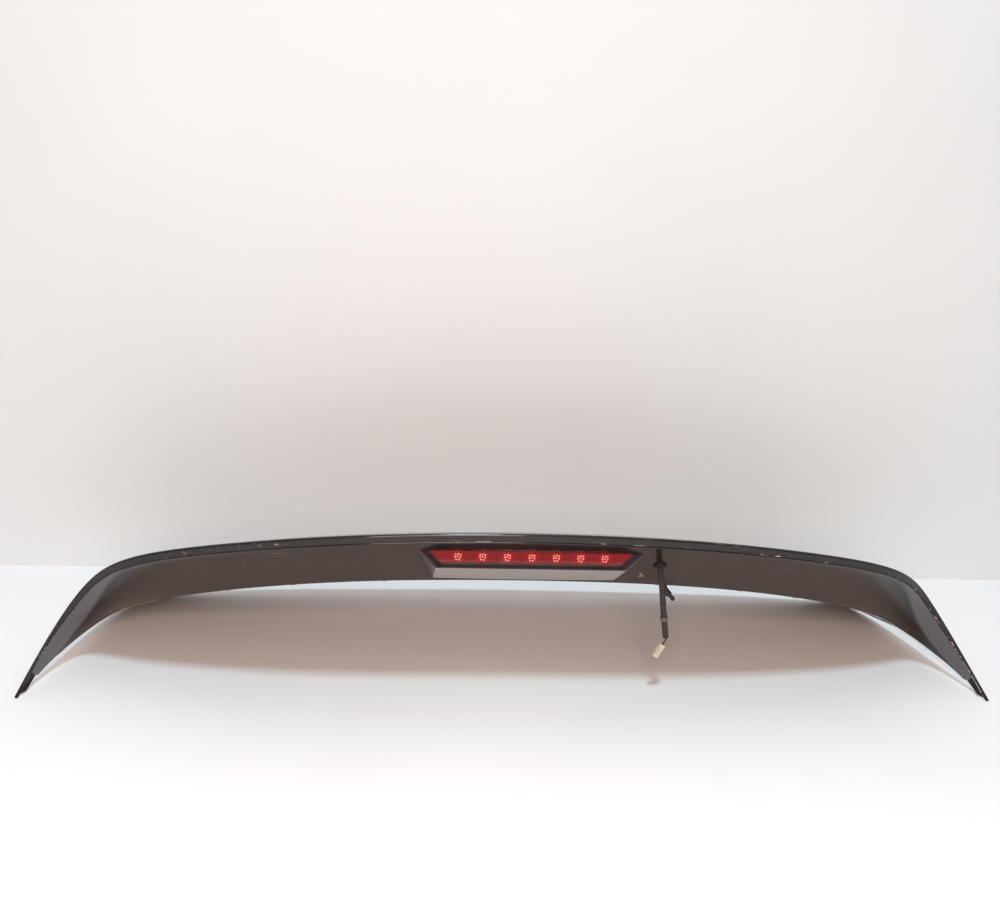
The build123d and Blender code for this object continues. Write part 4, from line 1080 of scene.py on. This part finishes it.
def stage_finish(name, colour, one_sided):
    """Pale floor or wall, faintly mottled; a one-sided wall lets views from behind through."""
    material, kit, shader = new_finish(name, Roughness=0.62)
    mottle = kit.patches(scale=3.0, detail=3.0, low=0.3, high=0.7)
    kit.feed(shader["Base Color"], kit.mix(mottle, colour, [c * 0.97 for c in colour]))
    if one_sided:
        behind = kit.add("ShaderNodeNewGeometry").outputs["Backfacing"]
        clear = kit.add("ShaderNodeBsdfTransparent").outputs[0]
        both = kit.add("ShaderNodeMixShader", {0: behind, 2: clear})
        end = next(n for n in kit.tree.nodes if n.type == "OUTPUT_MATERIAL")
        start = next(n for n in kit.tree.nodes if n.type == "BSDF_PRINCIPLED")
        kit.feed(both.inputs[1], start.outputs[0])
        kit.feed(end.inputs["Surface"], both.outputs[0])
    return material


# Stage


def flat_sheet(name, corner, first, second):
    """A single flat sheet from a corner and its two sides."""
    corner, first, second = (np.array(v, float) for v in (corner, first, second))
    corners = np.array([corner, corner + first, corner + first + second, corner + second])
    mesh = bpy.data.meshes.new(name)
    mesh.from_pydata(corners.tolist(), [], [[0, 1, 2, 3]])
    obj = bpy.data.objects.new(name, mesh)
    bpy.context.scene.collection.objects.link(obj)
    return obj


def make_world(scene):
    """Even pale surroundings."""
    world = bpy.data.worlds.new("pale room")
    world.use_nodes = True
    shade = world.node_tree.nodes["Background"].inputs
    shade["Color"].default_value = WORLD_COLOUR
    shade["Strength"].default_value = WORLD_STRENGTH
    scene.world = world


def make_light(name, place, side, power, colour):
    """A soft square light aimed at the middle of the spoiler."""
    light = bpy.data.lights.new(name, "AREA")
    light.shape = "SQUARE"
    light.size = side
    light.energy = power
    light.color = colour
    obj = bpy.data.objects.new(name, light)
    back = unit(np.array(place) - LIGHT_AIM)
    right = unit(np.cross([1.0, 0.0, 0.0], back))
    turn = np.stack([np.cross(right, back), right, back], 1)
    obj.matrix_world = Matrix.Translation(place) @ Matrix(turn.tolist()).to_4x4()
    bpy.context.scene.collection.objects.link(obj)


def make_camera(scene):
    """Camera at the photograph's place: yaw, downward pitch, then roll about the view line."""
    yaw, pitch, roll = CAMERA_YAW, CAMERA_PITCH, CAMERA_ROLL
    right = np.array([math.cos(yaw), math.sin(yaw), 0])
    level = np.array([-math.sin(yaw), math.cos(yaw), 0])
    up_axis = np.array([0, 0, 1])
    ahead = level * math.cos(pitch) - up_axis * math.sin(pitch)
    up = up_axis * math.cos(pitch) + level * math.sin(pitch)
    rolled_right = right * math.cos(roll) + up * math.sin(roll)
    rolled_up = up * math.cos(roll) - right * math.sin(roll)
    data = bpy.data.cameras.new("view")
    data.sensor_width = 36.0
    data.lens = CAMERA_LENS
    data.clip_start, data.clip_end = 0.05, 50.0
    obj = bpy.data.objects.new("view", data)
    turn = Matrix(np.stack([rolled_right, rolled_up, -ahead], 1).tolist()).to_4x4()
    obj.matrix_world = Matrix.Translation(CAMERA_PLACE) @ turn
    scene.collection.objects.link(obj)
    scene.camera = obj


# Operators


class PieceMaker:
    """Runs an operator's make with the scene's sizes and colours."""

    def execute(self, context):
        self.make(context.scene.spoiler_sizes, context.scene.spoiler_colours)
        return {"FINISHED"}


class SPOILER_OT_outer_skin(PieceMaker, bpy.types.Operator):
    """Makes the smooth outer skin"""

    bl_idname = "spoiler.outer_skin"
    bl_label = "Outer skin"

    def make(self, sizes, colours):
        f = section_frames(sizes, station_range(-LAST_STATION, LAST_STATION))
        profile, wear = skin_profile(f)
        points = placed(f, profile)
        obj = new_piece("outer_skin_shell", points, shell_faces(*points.shape[:2]))
        # Edge share: rubbed paint and painted glints along the lip, growing on the ears
        ears = LIP_WEAR_AND_GLINT + EAR_WEAR_AND_GLINT * ear_share(f.stations, EAR_WEAR_AND_GLINT_START, EAR_WEAR_AND_GLINT_LENGTH)
        point_values(obj, "edge", wear[None, :] * ears[:, None])
        round_edges(obj, sizes.edge_bevel)
        paint = paint_finish("skin paint", colours.skin, colours.painted_sheen, colours, wear=0.72, scratch=0.55)
        finished(obj, paint, "skin_paint", "outer_skin")


class SPOILER_OT_rear_panel(PieceMaker, bpy.types.Operator):
    """Makes the rear panel with its lamp opening and holes"""

    bl_idname = "spoiler.rear_panel"
    bl_label = "Rear panel"

    def make(self, sizes, colours):
        f = section_frames(sizes, station_range(-PANEL_REACH, PANEL_REACH))
        profile, wear, painted_sheen = panel_profile(f)
        points = placed(f, profile)
        obj = new_piece("rear_panel_shell", points, shell_faces(*points.shape[:2]))
        point_values(obj, "edge", np.broadcast_to(wear, points.shape[:2]))
        # Pale share: the painted reflection on the ears
        point_values(obj, "pale", painted_sheen)
        cut_out(obj, [lamp_cutter(lamp_points(sizes)),
                      hole_cutter(LEAD_ORIGIN, LEAD_NORMAL, LEAD_HOLE),
                      hole_cutter(EYELET_ORIGIN, EYELET_NORMAL, EYELET_HOLE)])
        round_edges(obj, sizes.edge_bevel)
        paint = paint_finish("panel paint", colours.panel, colours.painted_sheen, colours, wear=0.55, scratch=0.2,
                             speck=0.86)
        finished(obj, paint, "panel_paint", "rear_panel")


class SPOILER_OT_lamp_frame(PieceMaker, bpy.types.Operator):
    """Makes the stop lamp's frame with rounded edges"""

    bl_idname = "spoiler.lamp_frame"
    bl_label = "Lamp frame"

    def make(self, sizes, colours):
        obj = new_piece("lamp_frame", *frame_shape(sizes, lamp_points(sizes)))
        # The chin face's pale share paints on a reflection of the pale table
        pale = obj.data.attributes.new("pale", "FLOAT", "FACE")
        pale.data[CHIN_FACE].value = 1.0
        round_edges(obj, sizes.frame_bevel, segments=3, degrees=20.0)
        # The frame's lighter paint colour is a painted reflection
        paint = paint_finish("lamp frame paint", colours.frame, colours.chin, colours, wear=0.0,
                             scratch=0.15, roughness=0.32)
        finished(obj, paint, "frame_paint", "lamp_bezel")


class SPOILER_OT_lamp_lens(PieceMaker, bpy.types.Operator):
    """Makes the red lens with facets over the diodes"""

    bl_idname = "spoiler.lamp_lens"
    bl_label = "Lamp lens"

    def make(self, sizes, colours):
        points, faces, share, painted_halo = lens_shape(sizes, lamp_points(sizes))
        obj = new_piece("lamp_lens_faceted", points, faces)
        # Shares of the painted glints and of the painted glow
        point_values(obj, "facet", share)
        point_values(obj, "painted_halo", painted_halo)
        finished(obj, lens_finish(colours), "lens_red", "lamp_lens")


class SPOILER_OT_lead(PieceMaker, bpy.types.Operator):
    """Makes the taped loom that hangs from the grommet"""

    bl_idname = "spoiler.lead"
    bl_label = "Lead"

    def make(self, sizes, colours):
        path, way = along_path(spline_points(LOOM_ROUTE), LOOM_RINGS)
        points = tube_shape(path, way, wound_radius(sizes), LOOM_SIDES)
        obj = new_piece("lead_loom_taped", points, shell_faces(*points.shape[:2]), sharp_deg=60)
        angle = np.linspace(0, 1, LOOM_SIDES, endpoint=False)
        turn = (way[:, None] / sizes.tape_pitch - angle[None, :]) % 1.0
        point_values(obj, "edge", turn)
        wrap_map(obj, *np.broadcast_arrays(angle, way[:, None] / WRAP_LENGTH))
        finished(obj, loom_finish(colours), "loom_tape", "lead_loom")


class SPOILER_OT_ear_residue(PieceMaker, bpy.types.Operator):
    """Makes the torn mounting tape under both ears"""

    bl_idname = "spoiler.ear_residue"
    bl_label = "Ear tape residue"

    def make(self, sizes, colours):
        material = tape_finish(colours)
        for side, name in ((-1, "tape_residue_left"), (1, "tape_residue_right")):
            obj = new_piece(name, *residue_shape(sizes, side), sharp_deg=50)
            finished(obj, material, "tape_residue", "ear_tapes")


class SPOILER_OT_finishes(PieceMaker, bpy.types.Operator):
    """Gives the solids that stay their finishes"""

    bl_idname = "spoiler.finishes"
    bl_label = "Finishes"

    def make(self, sizes, colours):
        made = {"connector_white": connector_finish(colours)}
        made.update((slot, plain_finish(*row)) for slot, row in PLAIN_FINISHES.items())
        for part in frame["record"]["subparts"]:
            if part["material_slot"] in made:
                dress(frame["nodes"][part["node"]], made[part["material_slot"]])


class SPOILER_OT_stage(PieceMaker, bpy.types.Operator):
    """Makes the table, the wall, the light and the camera"""

    bl_idname = "spoiler.stage"
    bl_label = "Stage"

    def make(self, sizes, colours):
        scene = bpy.context.scene
        reach, width = STAGE_REACH, 2 * STAGE_REACH
        floor = flat_sheet("table", (-reach, -reach, 0), (width, 0, 0), (0, width, 0))
        dress(floor, stage_finish("table white", colours.floor, False))
        wall = flat_sheet("wall", (-reach, WALL_Y, 0), (width, 0, 0), (0, 0, WALL_HEIGHT))
        dress(wall, stage_finish("wall white", colours.wall, True))
        make_world(scene)
        for name, row in LIGHTS.items():
            make_light(name, *row)
        make_camera(scene)
        scene.view_settings.view_transform = "Standard"


OPERATORS = (SPOILER_OT_stage, SPOILER_OT_lead, SPOILER_OT_outer_skin, SPOILER_OT_rear_panel,
             SPOILER_OT_lamp_frame, SPOILER_OT_lamp_lens, SPOILER_OT_ear_residue, SPOILER_OT_finishes)


class SPOILER_PT_panel(bpy.types.Panel):
    """Lists the spoiler's pieces, sizes and colours"""

    bl_idname = "SPOILER_PT_panel"
    bl_label = "Spoiler"
    bl_space_type = "VIEW_3D"
    bl_region_type = "UI"
    bl_category = "Spoiler"

    def draw(self, context):
        for operator in OPERATORS:
            self.layout.operator(operator.bl_idname)
        for group in (context.scene.spoiler_sizes, context.scene.spoiler_colours):
            column = self.layout.column()
            for name in group.__annotations__:
                column.prop(group, name)


CLASSES = (SpoilerSizes, SpoilerColours, *OPERATORS, SPOILER_PT_panel)


def register():
    for cls in CLASSES:
        bpy.utils.register_class(cls)
    bpy.types.Scene.spoiler_sizes = PointerProperty(type=SpoilerSizes)
    bpy.types.Scene.spoiler_colours = PointerProperty(type=SpoilerColours)


def unregister():
    del bpy.types.Scene.spoiler_colours
    del bpy.types.Scene.spoiler_sizes
    for cls in reversed(CLASSES):
        bpy.utils.unregister_class(cls)


def main():
    """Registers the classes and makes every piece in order."""
    register()
    for operator in OPERATORS:
        group, name = operator.bl_idname.split(".")
        getattr(getattr(bpy.ops, group), name)()


if __name__ == "__main__":
    main()
